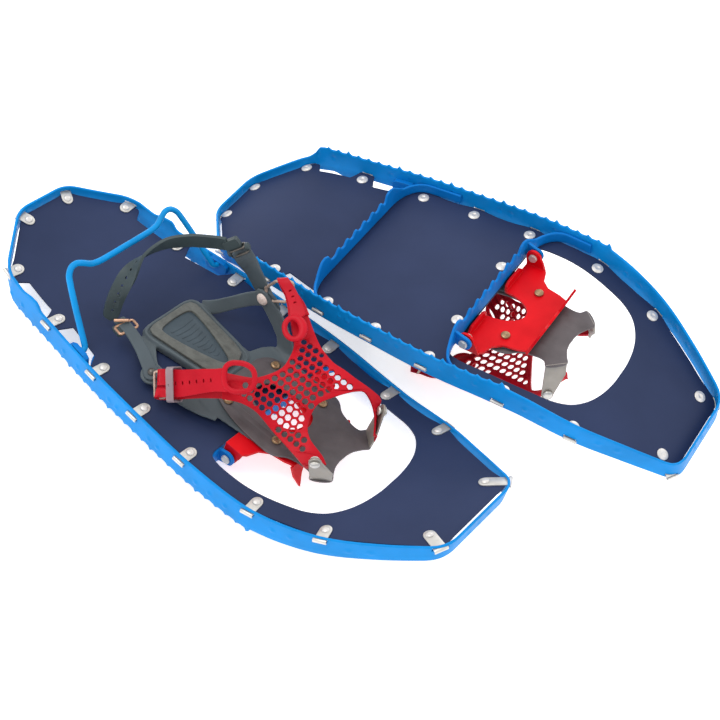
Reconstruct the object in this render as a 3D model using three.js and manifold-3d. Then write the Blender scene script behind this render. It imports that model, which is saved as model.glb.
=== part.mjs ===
// A pair of mountain snowshoes with toothed rails, pivoting crampon bindings and flip-up heel bails.
// Units are millimetres, +Z up. Shoe frame: x from tail to toe, y to the wearer's left,
// z = 0 on the top face of the deck amidships. Shoe a stands on its teeth, deck up; shoe b lies
// deck down beside it. The origin is the middle of the pair's footprint, on the ground.
import * as THREE from 'three';
import { mergeVertices } from 'three/addons/utils/BufferGeometryUtils.js';
import Module from 'manifold-3d';

const wasm = await Module();
wasm.setup();

// ---------------------------------------------------------------- shared dimensions
const GAP = 0.35; // clearance between neighbouring pieces
const RAIL_T = 2.4; // rail bar thickness
const CLIP_W = 11.2; // width of a deck edge clip
const BAR_T = 2.6; // crossbar blade thickness
const BAIL_R = 2.9;
const BAIL_X = 146;
const BAIL_Z = 3.4;
const HINGE_X = 311;
const HINGE_Z = -8;
const PIN_R = 2.5;
const PIN_HOLE_R = PIN_R + GAP;
const CRAMPON_T = 2.4;
const CRAMPON_TOP = 5.4;
const BASE_TOP = 7.6;

// extents of cutting and trimming blocks, beyond every part of the shoe
const BELOW = -60;
const ABOVE = 120;
const REACH = 130;

const TAIL_KICK = { from: 95, height: 17.5, power: 1.8 };
const TOE_RISE = { from: 335, rate: 0.0161, power: 1.6 };

// the two shoes: bail angle in degrees above the deck, and how far loose straps keep their height
const SHOE_A = { bailAngle: 50, heelFold: 1, strapFold: 1 };
const SHOE_B = { bailAngle: 12, heelFold: 0.3, strapFold: 0.35 };
const HEEL_FOLD_Z = 46; // heel strap parts above this height are folded down
const STRAP_FOLD_Z = 72; // the same for the left forefoot strap

const FINISHES = {
  rail: { color: 0x1e86cf, roughness: 0.35, metalness: 0.25 },
  deck: { color: 0x343f63, roughness: 0.45, metalness: 0 },
  bar: { color: 0x1c7cc4, roughness: 0.4, metalness: 0.25 },
  bail: { color: 0x2a93dc, roughness: 0.35, metalness: 0.2 },
  crampon: { color: 0xd5202b, roughness: 0.45, metalness: 0.15 },
  forefoot: { color: 0xc21f33, roughness: 0.55, metalness: 0 },
  steel: { color: 0xc9c7c2, roughness: 0.3, metalness: 0.9 },
  toePlate: { color: 0x5a5653, roughness: 0.5, metalness: 0.6 },
  binding: { color: 0x4c5657, roughness: 0.6, metalness: 0 },
  pad: { color: 0x595d58, roughness: 0.75, metalness: 0 },
  heelStrap: { color: 0x39474a, roughness: 0.6, metalness: 0 },
  bronze: { color: 0xa58d6a, roughness: 0.35, metalness: 0.85 },
  keeper: { color: 0x9a8d8f, roughness: 0.3, metalness: 0 },
};

// ---------------------------------------------------------------- vectors and meshes
const vec = (x, y, z) => new THREE.Vector3(x, y, z);
const vec2 = (x, y) => new THREE.Vector2(x, y);
const unit = (x, y, z) => vec(x, y, z).normalize();
const UP = vec(0, 0, 1);
const SIDES = [1, -1]; // left, right

// part of a vector square to a unit direction, at unit length
const squareTo = (v, along) => v.clone().addScaledVector(along, -v.dot(along)).normalize();

function signedVolume(geometry) {
  const { position } = geometry.attributes;
  const index = geometry.index.array;
  const [a, b, c] = [vec(), vec(), vec()];
  let total = 0;
  for (let i = 0; i < index.length; i += 3) {
    a.fromBufferAttribute(position, index[i]);
    b.fromBufferAttribute(position, index[i + 1]);
    c.fromBufferAttribute(position, index[i + 2]);
    total += a.dot(b.cross(c)) / 6;
  }
  return total;
}

// shared corners, no collapsed triangles, faces outward
function weld(source) {
  let geometry = source.clone();
  geometry.deleteAttribute('normal');
  geometry.deleteAttribute('uv');
  geometry = mergeVertices(geometry, 1e-4);
  const kept = [];
  const all = geometry.index.array;
  for (let i = 0; i < all.length; i += 3) {
    const [a, b, c] = [all[i], all[i + 1], all[i + 2]];
    if (a !== b && b !== c && a !== c) kept.push(a, b, c);
  }
  geometry.setIndex(kept);
  if (signedVolume(geometry) < 0) {
    const index = geometry.index.array;
    for (let i = 0; i < index.length; i += 3) {
      [index[i], index[i + 1]] = [index[i + 1], index[i]];
    }
  }
  return geometry;
}

// a Manifold solid from a geometry; solids pass through
function toSolid(shape) {
  if (!shape.isBufferGeometry) return shape;
  const geometry = weld(shape);
  return new wasm.Manifold(new wasm.Mesh({
    numProp: 3,
    vertProperties: new Float32Array(geometry.attributes.position.array),
    triVerts: new Uint32Array(geometry.index.array),
  }));
}

function toGeometry(solid) {
  const original = solid.asOriginal();
  // guards against manifold-3d versions without simplify
  const tidy = typeof original.simplify === 'function' ? original.simplify(0.06) : original;
  const mesh = tidy.getMesh();
  const geometry = new THREE.BufferGeometry();
  const position = new THREE.BufferAttribute(new Float32Array(mesh.vertProperties), 3);
  geometry.setAttribute('position', position);
  geometry.setIndex(new THREE.BufferAttribute(new Uint32Array(mesh.triVerts), 1));
  return geometry;
}

const union = (shapes) => shapes.map(toSolid).reduce((a, b) => a.add(b));
const subtract = (base, cuts) => cuts.reduce((a, b) => a.subtract(toSolid(b)), toSolid(base));
const intersect = (a, b) => toSolid(a).intersect(toSolid(b));

// ---------------------------------------------------------------- flat outlines, [x, y] points
const mirrorY = (points) => points.map(([x, y]) => [x, -y]).reverse();
const symmetric = (half) => half.concat(mirrorY(half)); // half runs with y > 0
const onSide = (points, side) => (side > 0 ? points : mirrorY(points));
const rectangle = (x0, y0, x1, y1) => [[x0, y0], [x1, y0], [x1, y1], [x0, y1]];

// half an ellipse, counter-clockwise from the start angle
function halfTurn(centreX, centreY, radiusX, radiusY, start, steps) {
  return Array.from({ length: steps + 1 }, (_, k) => {
    const angle = start + Math.PI * k / steps;
    return [centreX + radiusX * Math.cos(angle), centreY + radiusY * Math.sin(angle)];
  });
}

// regular polygon; turn is 1 for counter-clockwise, -1 for clockwise
function polygon(centreX, centreY, radius, sides, turn) {
  return Array.from({ length: sides }, (_, k) => {
    const angle = turn * 2 * Math.PI * k / sides;
    return [centreX + radius * Math.cos(angle), centreY + radius * Math.sin(angle)];
  });
}

// ---------------------------------------------------------------- basic shapes
const place = (geometry, xAxis, yAxis, zAxis, origin) => geometry.applyMatrix4(
  new THREE.Matrix4().makeBasis(xAxis, yAxis, zAxis).setPosition(origin));

// turn a shape built about the y axis to a unit direction, then move it
function aim(geometry, direction, origin) {
  geometry.applyQuaternion(new THREE.Quaternion().setFromUnitVectors(vec(0, 1, 0), direction));
  return geometry.translate(origin.x, origin.y, origin.z);
}

// flat outline raised from z0 to z1
function prism(outline, z0, z1, holes = []) {
  const points = outline.map(([x, y]) => vec2(x, y));
  if (THREE.ShapeUtils.isClockWise(points)) points.reverse();
  const shape = new THREE.Shape(points);
  for (const hole of holes) shape.holes.push(new THREE.Path(hole.map(([x, y]) => vec2(x, y))));
  const geometry = new THREE.ExtrudeGeometry(shape, { depth: z1 - z0, bevelEnabled: false });
  return geometry.translate(0, 0, z0);
}
const column = (outline, holes) => prism(outline, BELOW, ABOVE, holes);

// [x, z] outline extruded from y0 to y1
const prismY = (outline, y0, y1) => prism(outline, 0, y1 - y0)
  .rotateX(Math.PI / 2).translate(0, y1, 0);

// [y, z] outline extruded from x0 to x1
const prismX = (outline, x0, x1) => place(
  prism(outline, 0, x1 - x0), vec(0, 1, 0), vec(0, 0, 1), vec(1, 0, 0), vec(x0, 0, 0));

// lengthwise plate on one side, with its inner face at |y| = inner
function sidePlate(outline, side, inner, thickness) {
  const y0 = side > 0 ? inner : -inner - thickness;
  return prismY(outline, y0, y0 + thickness);
}

// cylinder about a unit direction through the origin point, between two distances along it
function rod(origin, direction, from, to, radius, segments) {
  const geometry = new THREE.CylinderGeometry(radius, radius, to - from, segments, 1);
  return aim(geometry, direction, origin.clone().addScaledVector(direction, (from + to) / 2));
}

// turned piece: [radius, height] profile from axis to axis, about a unit direction
function turned(profile, origin, direction, segments) {
  const geometry = new THREE.LatheGeometry(profile.map(([r, h]) => vec2(r, h)), segments);
  return aim(geometry, direction, origin);
}

// no change below the level, heights above it scaled toward it
const fold = (level, ratio) => (z) => (z > level ? level + (z - level) * ratio : z);
const unfolded = (z) => z;

// ribbon stations from rows of x, y, z, width direction x, y, z, width
const stations = (rows, height = unfolded) => rows.map(([x, y, z, ax, ay, az, width]) => (
  { point: vec(x, y, height(z)), across: unit(ax, ay, az), width }));

// flat strip bent along its stations
function ribbon(list, thickness, stepsPerSpan) {
  const spans = list.length - 1;
  const steps = spans * stepsPerSpan;
  const curve = new THREE.CatmullRomCurve3(list.map((s) => s.point), false, 'centripetal');
  const frames = [];
  for (let k = 0; k <= steps; k++) {
    const u = k / steps;
    const i = Math.min(spans - 1, Math.floor(u * spans));
    const blend = u * spans - i;
    const tangent = curve.getTangent(u);
    const across = squareTo(list[i].across.clone().lerp(list[i + 1].across, blend), tangent);
    frames.push({
      point: curve.getPoint(u),
      across,
      normal: tangent.clone().cross(across).normalize(),
      width: list[i].width * (1 - blend) + list[i + 1].width * blend,
    });
  }
  const geometry = new THREE.BoxGeometry(1, 1, 1, 1, 1, steps);
  const { position } = geometry.attributes;
  for (let i = 0; i < position.count; i++) {
    const frame = frames[Math.round((position.getZ(i) + 0.5) * steps)];
    const moved = frame.point.clone()
      .addScaledVector(frame.across, position.getX(i) * frame.width)
      .addScaledVector(frame.normal, position.getY(i) * thickness);
    position.setXYZ(i, moved.x, moved.y, moved.z);
  }
  return geometry;
}

// polygonal wire through the points
function wire(points, radius, steps, sides) {
  const section = new THREE.Shape(polygon(0, 0, radius, sides, 1).map(([x, y]) => vec2(x, y)));
  const extrudePath = new THREE.CatmullRomCurve3(points, false, 'centripetal');
  return new THREE.ExtrudeGeometry(section, { steps, extrudePath, bevelEnabled: false });
}

// rectangular frame with a long x short opening; bar is its width in plane, depth across the plane
function barLoop(centre, longAxis, shortAxis, { long, short, bar, depth }) {
  const [a, b] = [long / 2, short / 2];
  const outer = rectangle(-a - bar, -b - bar, a + bar, b + bar);
  const geometry = prism(outer, -depth / 2, depth / 2, [rectangle(-a, -b, a, b)]);
  const normal = longAxis.clone().cross(shortAxis).normalize();
  return place(geometry, longAxis, normal.clone().cross(longAxis).normalize(), normal, centre);
}

// frame standing square to the along direction
function crossLoop(centre, along, across, size) {
  const longAxis = squareTo(across, along);
  return barLoop(centre, longAxis, along.clone().cross(longAxis).normalize(), size);
}

// frame round two strap runs, level along the strap with the low one plus a shift
function loopRound(low, high, along, across, { shift, margin, ...size }) {
  const shortAxis = along.clone().cross(squareTo(across, along)).normalize();
  const short = Math.abs(high.clone().sub(low).dot(shortAxis)) + margin;
  const centre = low.clone().add(high).multiplyScalar(0.5);
  centre.addScaledVector(along, low.clone().sub(centre).dot(along) + shift);
  return weld(crossLoop(centre, along, across, { ...size, short }));
}

// ---------------------------------------------------------------- deck height
// height of the deck's top face, with its tail kick and toe rise
function deckZ(x) {
  const { from, height, power } = TAIL_KICK;
  if (x < from) return height * Math.pow((from - x) / from, power);
  if (x > TOE_RISE.from) return TOE_RISE.rate * Math.pow(x - TOE_RISE.from, TOE_RISE.power);
  return 0;
}
const deckSlope = (x) => deckZ(x + 0.5) - deckZ(x - 0.5);

// ---------------------------------------------------------------- rail centre line in plan
const TAIL_CORNER = [-8.8, 29];
// left side, x and y, rear corner to toe corner
const RAIL_SIDE = [
  [34.5, 79.2], [68, 84], [102.1, 88.2], [171.2, 97], [228.1, 101.3], [289.4, 104.6],
  [340, 103.6], [380, 99.6], [433, 88.8], [478, 69.8], [521.5, 47.2],
];
const RAIL_STEPS = 14;
const CORNER_CUTS = { tail: 12, rear: 16, toe: 16 }; // length each rounding takes off its edges

// corners of a closed loop replaced by parabolic curves; a cut of 0 keeps the corner
function roundCorners(loop, cuts) {
  const count = loop.length;
  return loop.flatMap((corner, i) => {
    if (!cuts[i]) return [corner];
    const point = vec2(...corner);
    const toward = (other) => {
      const edge = vec2(...other).sub(point);
      const length = Math.min(cuts[i], edge.length() * 0.45);
      return point.clone().addScaledVector(edge.normalize(), length);
    };
    const start = toward(loop[(i + count - 1) % count]);
    const end = toward(loop[(i + 1) % count]);
    const curve = new THREE.QuadraticBezierCurve(start, point, end);
    return curve.getPoints(4).map((p) => [p.x, p.y]);
  });
}

// counter-clockwise loop
function makeRailLoop() {
  const spline = new THREE.SplineCurve(RAIL_SIDE.map(([x, y]) => vec2(x, y)));
  const left = [TAIL_CORNER, ...spline.getPoints(RAIL_STEPS).map((p) => [p.x, p.y])];
  const { tail, rear, toe } = CORNER_CUTS;
  const cuts = [tail, rear, ...Array(RAIL_STEPS - 1).fill(0), toe];
  const right = left.map(([x, y]) => [x, -y]);
  return roundCorners([...right, ...left.reverse()], [...cuts, ...cuts.slice().reverse()]);
}

// counter-clockwise loop moved outward by the distance
function offset(loop, distance) {
  const count = loop.length;
  return loop.map((corner, i) => {
    const point = vec2(...corner);
    const edgeIn = point.clone().sub(vec2(...loop[(i + count - 1) % count])).normalize();
    const edgeOut = vec2(...loop[(i + 1) % count]).sub(point).normalize();
    const normalIn = vec2(edgeIn.y, -edgeIn.x);
    const mitre = normalIn.clone().add(vec2(edgeOut.y, -edgeOut.x)).normalize();
    point.addScaledVector(mitre, distance / Math.max(0.5, mitre.dot(normalIn)));
    return [point.x, point.y];
  });
}

const RAIL_LOOP = makeRailLoop();
const RAIL_EDGES = RAIL_LOOP.map((p, i) => [p, RAIL_LOOP[(i + 1) % RAIL_LOOP.length]]);

// solid ring along the rail, out to the distance each side of its centre line
const railWall = (half) => column(offset(RAIL_LOOP, half), [offset(RAIL_LOOP, -half)]);

// half width of the rail centre line at station x
function railY(x) {
  let best = 0;
  for (const [a, b] of RAIL_EDGES) {
    if (a[1] < 0 || b[1] < 0 || a[0] === b[0]) continue;
    if ((a[0] - x) * (b[0] - x) > 0) continue;
    best = Math.max(best, a[1] + (b[1] - a[1]) * (x - a[0]) / (b[0] - a[0]));
  }
  return best;
}

// distance along a plan ray to its first crossing of the rail centre line
function distanceToRail(from, ray) {
  let best = 1e9;
  for (const [a, b] of RAIL_EDGES) {
    const [edgeX, edgeY] = [b[0] - a[0], b[1] - a[1]];
    const [startX, startY] = [a[0] - from.x, a[1] - from.y];
    const determinant = ray.x * edgeY - ray.y * edgeX;
    if (Math.abs(determinant) < 1e-9) continue;
    const distance = (startX * edgeY - startY * edgeX) / determinant;
    const fraction = (startX * ray.y - startY * ray.x) / determinant;
    if (distance > 0 && fraction >= 0 && fraction <= 1) best = Math.min(best, distance);
  }
  return best;
}

// ---------------------------------------------------------------- clip places
// clip rivets, tail to toe: station, half width, plan direction where not square to the rail
const CLIP_RIVETS = [
  [0, 24.2, [-0.9, 0.42]], [36.5, 68.1, [-0.12, 1]], [102.1, 76], [171.2, 84.9], [228.1, 89.2],
  [289.4, 92.7], [365.2, 89.4], [430.2, 78.4], [501.5, 39.4, [0.86, 0.51]],
];
const railNormal = (x) => [-(railY(x + 2) - railY(x - 2)) / 4, 1];

// basis of each clip: x outward from the rivet to the rail, z up from the deck;
// length is the distance to the rail centre line
const CLIPS = CLIP_RIVETS.flatMap(([x, halfWidth, direction]) => SIDES.map((side) => {
  const [planX, planY] = direction ?? railNormal(x);
  const plan = vec2(planX, planY * side).normalize();
  const slope = deckSlope(x);
  const sloped = vec(plan.x, plan.y, slope * plan.x);
  const origin = vec(x, halfWidth * side, deckZ(x));
  const length = distanceToRail(origin, plan) * sloped.length();
  const xAxis = sloped.normalize();
  const zAxis = unit(-slope, 0, 1);
  return { origin, xAxis, yAxis: zAxis.clone().cross(xAxis).normalize(), zAxis, length };
}));

const clipBlock = (clip, outline, z0, z1) => place(
  prism(outline, z0, z1), clip.xAxis, clip.yAxis, clip.zAxis, clip.origin);

// block through the rail at every clip, wider than the clip by the clearance on each side
const clipSlots = (clearance, z0, z1) => CLIPS.map((clip) => {
  const half = CLIP_W / 2 + clearance;
  return clipBlock(clip, rectangle(clip.length - 6, -half, clip.length + 6, half), z0, z1);
});

// ---------------------------------------------------------------- frame rail
const RAIL_UP = 7; // rail above the deck face
const RAIL_LOW = -19; // lower edge of the rail between the teeth
// upper edge, x and z, along the hump ahead of the rear corner
const RAIL_HUMP = [[54, 9], [64, 10.2], [74, 13.4], [83, 14.2], [86, 12.2], [89, 8]];
const RAIL_TEETH = { from: 56, to: 366, pitch: 11.6, tip: -21.2, longTip: -22.6 };

function railUpperEdge() {
  const front = [];
  for (let x = 120; x <= 360; x += 60) front.push(x);
  for (let x = 378; x <= 545; x += 17) front.push(x);
  const follow = (x) => [x, deckZ(x) + RAIL_UP];
  return [...[-30, -10, 0, 10, 20, 30, 38, 46].map(follow), ...RAIL_HUMP, ...front.map(follow)];
}

function railLowerEdge() {
  const edge = [-30, 0, 18, 34].map((x) => [x, deckZ(x) - 11]);
  edge.push([40, -8], [46, -17.5], [52, RAIL_LOW]);
  const { from, to, pitch, tip, longTip } = RAIL_TEETH;
  for (let x = from, k = 0; x < to; x += pitch, k++) {
    edge.push([x, k % 5 === 2 ? longTip : tip]); // every fifth tooth is longer
    edge.push([x + 3.4, RAIL_LOW + 0.3], [x + pitch - 3, RAIL_LOW - 0.1]);
  }
  edge.push([374, -18.6]);
  for (let x = 388; x <= 545; x += 14) {
    edge.push([x, deckZ(x) - 18.5 + Math.min(4.5, (x - 388) * 0.045)]);
  }
  return edge;
}

function makeRail() {
  const band = prismY([...railUpperEdge(), ...railLowerEdge().reverse()], -REACH, REACH);
  return toGeometry(subtract(intersect(railWall(RAIL_T / 2), band), clipSlots(0.6, -1.4, 2.6)));
}

// ---------------------------------------------------------------- deck sheet with riveted clips
const DECK_T = 1.6;
const DECK_INSET = 0.8; // from the rail's inner face to the deck edge at a clip
const EDGE_DRAW = { depth: 2.6, distance: 26 }; // further inset, reached this far from a clip
// left half of the toe opening, x and y
const TOE_OPENING = [
  [301.2, 72], [302.6, 78], [307, 81.6], [316, 82.6], [338, 81.6], [360, 80],
  [386, 75], [404, 70], [418, 61.5], [428, 48], [434, 32], [437, 13],
];
// edge notches: station and depth inside the rail's inner face
const EDGE_NOTCHES = [
  [[46, 1], [53, 12.5], [89, 13], [93.5, 4]],
  [[111, 4], [117.5, 17], [155, 14], [162.5, 3]],
];
const CLIP_T = 1.2;
// deck rivets: radius, height
const CLIP_RIVET = [[0, -2.9], [4.9, -2.9], [4.9, -1], [3.4, -1], [3.2, 2.5], [0, 2.5]];
const INNER_RIVET = [[0, -2.9], [4.7, -2.9], [5, -1.2], [4, -1.2], [3.8, 1], [0, 1]];
const INNER_RIVET_AT = { x: 288, y: 41 };

// close to the rail at the clips, drawn in between them
function deckOutline() {
  const edge = offset(RAIL_LOOP, -RAIL_T / 2 - DECK_INSET);
  const count = edge.length;
  return edge.map(([x, y], i) => {
    const nearest = Math.min(...CLIPS.map(({ origin, xAxis, length }) => (
      Math.hypot(x - (origin.x + xAxis.x * length), y - (origin.y + xAxis.y * length)))));
    const fraction = Math.min(1, nearest / EDGE_DRAW.distance);
    const pull = EDGE_DRAW.depth * Math.sin(fraction * Math.PI / 2) ** 2;
    const tangent = vec2(...edge[(i + 1) % count])
      .sub(vec2(...edge[(i + count - 1) % count])).normalize();
    return [x - tangent.y * pull, y + tangent.x * pull];
  });
}

// side view of the sheet, x and z
function deckSection() {
  const xs = [];
  for (let x = -24; x < 96; x += 12) xs.push(x);
  xs.push(96, 200, 334);
  for (let x = 346; x <= 540; x += 16) xs.push(x);
  const top = xs.map((x) => [x, deckZ(x)]);
  return [...top, ...top.map(([x, z]) => [x, z - DECK_T]).reverse()];
}

function edgeNotch(rows, side) {
  const outside = (x) => [x, railY(x) + 4];
  const inside = rows.map(([x, depth]) => [x, railY(x) - RAIL_T / 2 - depth]);
  return column(onSide([...inside, outside(rows.at(-1)[0]), outside(rows[0][0])], side));
}

// tab from the rivet through the rail, cross lip outside the rail, rivet
function clipParts(clip) {
  const half = CLIP_W / 2;
  const lip = clip.length + RAIL_T / 2 + GAP + 0.25;
  const tab = [...halfTurn(0, 0, half, half, Math.PI / 2, 4), [lip + 0.9, -half], [lip + 0.9, half]];
  return [
    clipBlock(clip, tab, -0.3, CLIP_T),
    clipBlock(clip, rectangle(lip, -half - 1.2, lip + 1.1, half + 1.2), -2, 3),
    turned(CLIP_RIVET, clip.origin, clip.zAxis, 6),
  ];
}

function makeDeck() {
  const blank = column(deckOutline(), [symmetric(TOE_OPENING)]);
  const notches = SIDES.flatMap((side) => EDGE_NOTCHES.map((rows) => edgeNotch(rows, side)));
  const sheet = subtract(intersect(blank, prismY(deckSection(), -REACH, REACH)), notches);
  const { x, y } = INNER_RIVET_AT;
  const innerRivets = SIDES.map((side) => turned(INNER_RIVET, vec(x, y * side, 0), UP, 6));
  const whole = union([sheet, ...CLIPS.flatMap(clipParts), ...innerRivets]);
  // keep clear of the rail except where each clip passes through its slot
  const keepOut = subtract(railWall(RAIL_T / 2 + GAP), clipSlots(0.3, -1.1, 2.3));
  return toGeometry(whole.subtract(keepOut));
}

// ---------------------------------------------------------------- crossbars
const BAR_TOP = -2;
const BAR_END = 112; // half width of the trimming outline, beyond the rails
// x, halfWidth: straight middle. flange: stations along the rail.
// lowEdge: y and z of the left lower edge, ending at the middle teeth.
const REAR_BAR = {
  x: 150, halfWidth: 60, flange: [176, 208],
  lowEdge: [
    [BAR_END, -13], [90, -12], [76, -12.5], [62, -23], [56, -24], [51, -22], [47, -14.5], [44, -14],
  ],
  teeth: { pitch: 15.5, tip: -19, root: -14.5 },
};
const HINGE_BAR = {
  x: 300, halfWidth: 60, flange: [326, 352],
  lowEdge: [
    [BAR_END, -14], [92, -13], [80, -13.5], [66, -23], [60, -24], [55, -22], [51, -16.5], [48, -16],
  ],
  teeth: { pitch: 14.5, tip: -21.5, root: -16.5 },
};
const EAR_R = 7.4;
const EAR_INNER_Y = 65.6;
// side view of a hinge ear, x and z
const HINGE_EAR = [
  ...halfTurn(HINGE_X, HINGE_Z, EAR_R, EAR_R, -Math.PI / 2, 6),
  [303, HINGE_Z + 5.2], [299.2, -3.4], [299.2, -20], [303, -18.5],
];

// left half of a blade in plan: flange along the rail, then a curve to the straight middle
function bladePlan({ x, halfWidth, flange: [rear, front] }) {
  const inset = RAIL_T / 2 + GAP + BAR_T / 2;
  const flange = [];
  for (let k = 0; k <= 4; k++) {
    const station = front + (rear - front) * k / 4;
    flange.push([station, railY(station) - inset]);
  }
  const [startX, startY] = flange.at(-1);
  const curve = new THREE.CubicBezierCurve(
    vec2(startX, startY),
    vec2(x + (startX - x) * 0.35, startY - 0.5),
    vec2(x + 1, halfWidth + (startY - halfWidth) * 0.55),
    vec2(x, halfWidth));
  return [...flange, ...curve.getPoints(7).slice(1).map((p) => [p.x, p.y])];
}

function thicken(path, thickness) {
  const edge = (distance) => path.map(([x, y], i) => {
    const before = path[Math.max(0, i - 1)];
    const after = path[Math.min(path.length - 1, i + 1)];
    const direction = vec2(after[0] - before[0], after[1] - before[1]).normalize();
    return [x - direction.y * distance, y + direction.x * distance];
  });
  return [...edge(thickness / 2), ...edge(-thickness / 2).reverse()];
}

// teeth across the middle, y and z, left to right
function middleTeeth(reach, { pitch, tip, root }) {
  const count = Math.max(2, Math.round(2 * reach / pitch));
  const width = 2 * reach / count;
  const edge = [];
  for (let i = 0; i < count; i++) {
    const y = reach - i * width;
    edge.push([y - width * 0.3, root], [y - width * 0.62, tip], [y - width * 0.8, tip + 0.4]);
    if (i < count - 1) edge.push([y - width * 0.98, root]);
  }
  return edge;
}

function crossbar(bar) {
  const { lowEdge, teeth } = bar;
  const middle = middleTeeth(lowEdge.at(-1)[0], teeth);
  const right = lowEdge.map(([y, z]) => [-y, z]).reverse();
  const low = [...lowEdge, ...middle, ...right];
  const face = [[-BAR_END, BAR_TOP], ...low.reverse(), [BAR_END, BAR_TOP]];
  const wall = column(thicken(symmetric(bladePlan(bar)), BAR_T));
  return intersect(wall, prismX(face, bar.x - 30, bar.flange[1] + 30));
}

const makeRearBar = () => toGeometry(crossbar(REAR_BAR));

function makeHingeBar() {
  const ears = SIDES.map((side) => sidePlate(HINGE_EAR, side, EAR_INNER_Y, BAR_T));
  const holes = SIDES.map((side) => {
    const y = side > 0 ? EAR_INNER_Y : -EAR_INNER_Y - BAR_T;
    return rod(vec(HINGE_X, y, HINGE_Z), vec(0, 1, 0), -2, 5, PIN_HOLE_R, 12);
  });
  return toGeometry(subtract(union([crossbar(HINGE_BAR), ...ears]), holes));
}

// ---------------------------------------------------------------- heel bail and its brackets
// left half of the bail: distance from the pivot axis, y
const BAIL_SHAPE = [
  [0, 91.7], [0, 85.8], [1.7, 83.2], [6, 81.9], [14, 80.2], [36, 75.4], [58, 70], [66.5, 67],
  [71.5, 61.5], [72.2, 55.5], [69.5, 49], [65.6, 42.5], [63.6, 35], [63, 18],
];
const BAIL_MIDDLE = [63, 0];
const BRACKET = { rear: 132, front: 156.5, thickness: 4.8 };

// swung up about its pivots from pointing to the tail
function makeBail(degrees) {
  const angle = degrees * Math.PI / 180;
  const points = [...BAIL_SHAPE, BAIL_MIDDLE, ...mirrorY(BAIL_SHAPE)].map(([distance, y]) => (
    vec(BAIL_X - distance * Math.cos(angle), y, BAIL_Z + distance * Math.sin(angle))));
  return weld(wire(points, BAIL_R, 38, 6));
}

// block set against the rail's inner face
function makeBracket(side) {
  const { rear, front, thickness } = BRACKET;
  const outline = [
    [rear, -3.6], [rear + 3, -7.5], [front - 3, -7.5], [front, -3.6],
    [front, 4.4], [front - 4, 7.2], [rear + 6, 7.2], [rear, 3],
  ];
  const middle = (rear + front) / 2;
  const block = prismY(outline, -thickness, 0)
    .translate(-middle, 0, 0)
    .rotateZ(Math.atan2(railY(front) - railY(rear), front - rear))
    .translate(middle, railY(middle) - RAIL_T / 2 - GAP, 0)
    .scale(1, side, 1);
  const hole = rod(vec(BAIL_X, 0, BAIL_Z), vec(0, side, 0), 80, 99, BAIL_R + 0.4, 20);
  return toGeometry(subtract(block, [hole]));
}

// ---------------------------------------------------------------- base rivet places
const REAR_RIVET_X = 275;
const FRONT_RIVET_X = 334;
const RIVET_Y = 31.5;
const RIVET_R = 2.4;
const rivetHole = (x, side, segments) => rod(
  vec(x, RIVET_Y * side, 0), UP, 0, 14, RIVET_R + GAP, segments);
const fourRivetHoles = () => SIDES.flatMap((side) => (
  [REAR_RIVET_X, FRONT_RIVET_X].map((x) => rivetHole(x, side, 8))));

// ---------------------------------------------------------------- crampon and hinge pins
const CRAMPON_REAR = 304;
const ARM_INNER_Y = 61.3;
// left half of the plate in plan, x and y
const CRAMPON_PLATE = [
  [CRAMPON_REAR, ARM_INNER_Y + CRAMPON_T], [322, 63.7], [326, 60], [330, 49], [338, 42.5],
  [352, 40], [361.5, 36.5],
];
// side view of an arm, x and z
const CRAMPON_ARM = [
  [CRAMPON_REAR, CRAMPON_TOP], [303.2, -5],
  ...halfTurn(HINGE_X, HINGE_Z, 7.8, 7.6, Math.PI, 6),
  [321, -4], [324, CRAMPON_TOP],
];
// left rear flange, y and z
const REAR_FLANGE = [
  [19, CRAMPON_TOP], [19, -3], [24, -5.5], [44, -5.5], [50, 0], [50, CRAMPON_TOP],
];
// front teeth before leaning: y and height
const SPIKE = [[20, 0], [40, 0], [39, -12], [33.5, -26.6], [29, -13]];
const MIDDLE_TEETH = [[-22, 0], [22, 0], [18, -5], [9, -8], [0, -5], [-9, -8], [-18, -5]];
const SPIKE_LEAN = { angle: -0.36, x: 361.6, z: 5 };

// mirror a [y, z] outline to the given side
const faceOnSide = (outline, side) => (
  side > 0 ? outline : outline.map(([y, z]) => [-y, z]).reverse());

const frontTooth = (outline) => prismX(outline, -CRAMPON_T, 0)
  .rotateY(SPIKE_LEAN.angle).translate(SPIKE_LEAN.x, 0, SPIKE_LEAN.z);

function makeCrampon() {
  const cutOut = halfTurn(306, 0, 31.5, 18, -Math.PI / 2, 10);
  const plan = [
    ...symmetric(CRAMPON_PLATE), [CRAMPON_REAR, -19], ...cutOut, [CRAMPON_REAR, 19],
  ];
  const parts = [prism(plan, CRAMPON_TOP - CRAMPON_T, CRAMPON_TOP)];
  const holes = [];
  for (const side of SIDES) {
    parts.push(
      sidePlate(CRAMPON_ARM, side, ARM_INNER_Y, CRAMPON_T),
      prismX(faceOnSide(REAR_FLANGE, side), CRAMPON_REAR, CRAMPON_REAR + CRAMPON_T),
      frontTooth(faceOnSide(SPIKE, side)));
    holes.push(
      rod(vec(HINGE_X, 0, HINGE_Z), vec(0, side, 0), 56, 66, PIN_HOLE_R, 12),
      rivetHole(FRONT_RIVET_X, side, 10));
  }
  parts.push(frontTooth(MIDDLE_TEETH));
  return toGeometry(subtract(union(parts), holes));
}

// radius, distance from the shoe's middle plane
const PIN_PROFILE = [
  [0, 58.4], [4.2, 58.4], [4.2, 60.8], [PIN_R, 60.8], [PIN_R, 68.7],
  [4.4, 68.7], [4.4, 70.4], [3.6, 71], [0, 71],
];
const makePin = (side) => weld(
  turned(PIN_PROFILE, vec(HINGE_X, 0, HINGE_Z), vec(0, side, 0), 10));

// ---------------------------------------------------------------- toe plate
const TOE_T = 1.8;
const TOE_Z = 8.05; // underside
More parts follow.
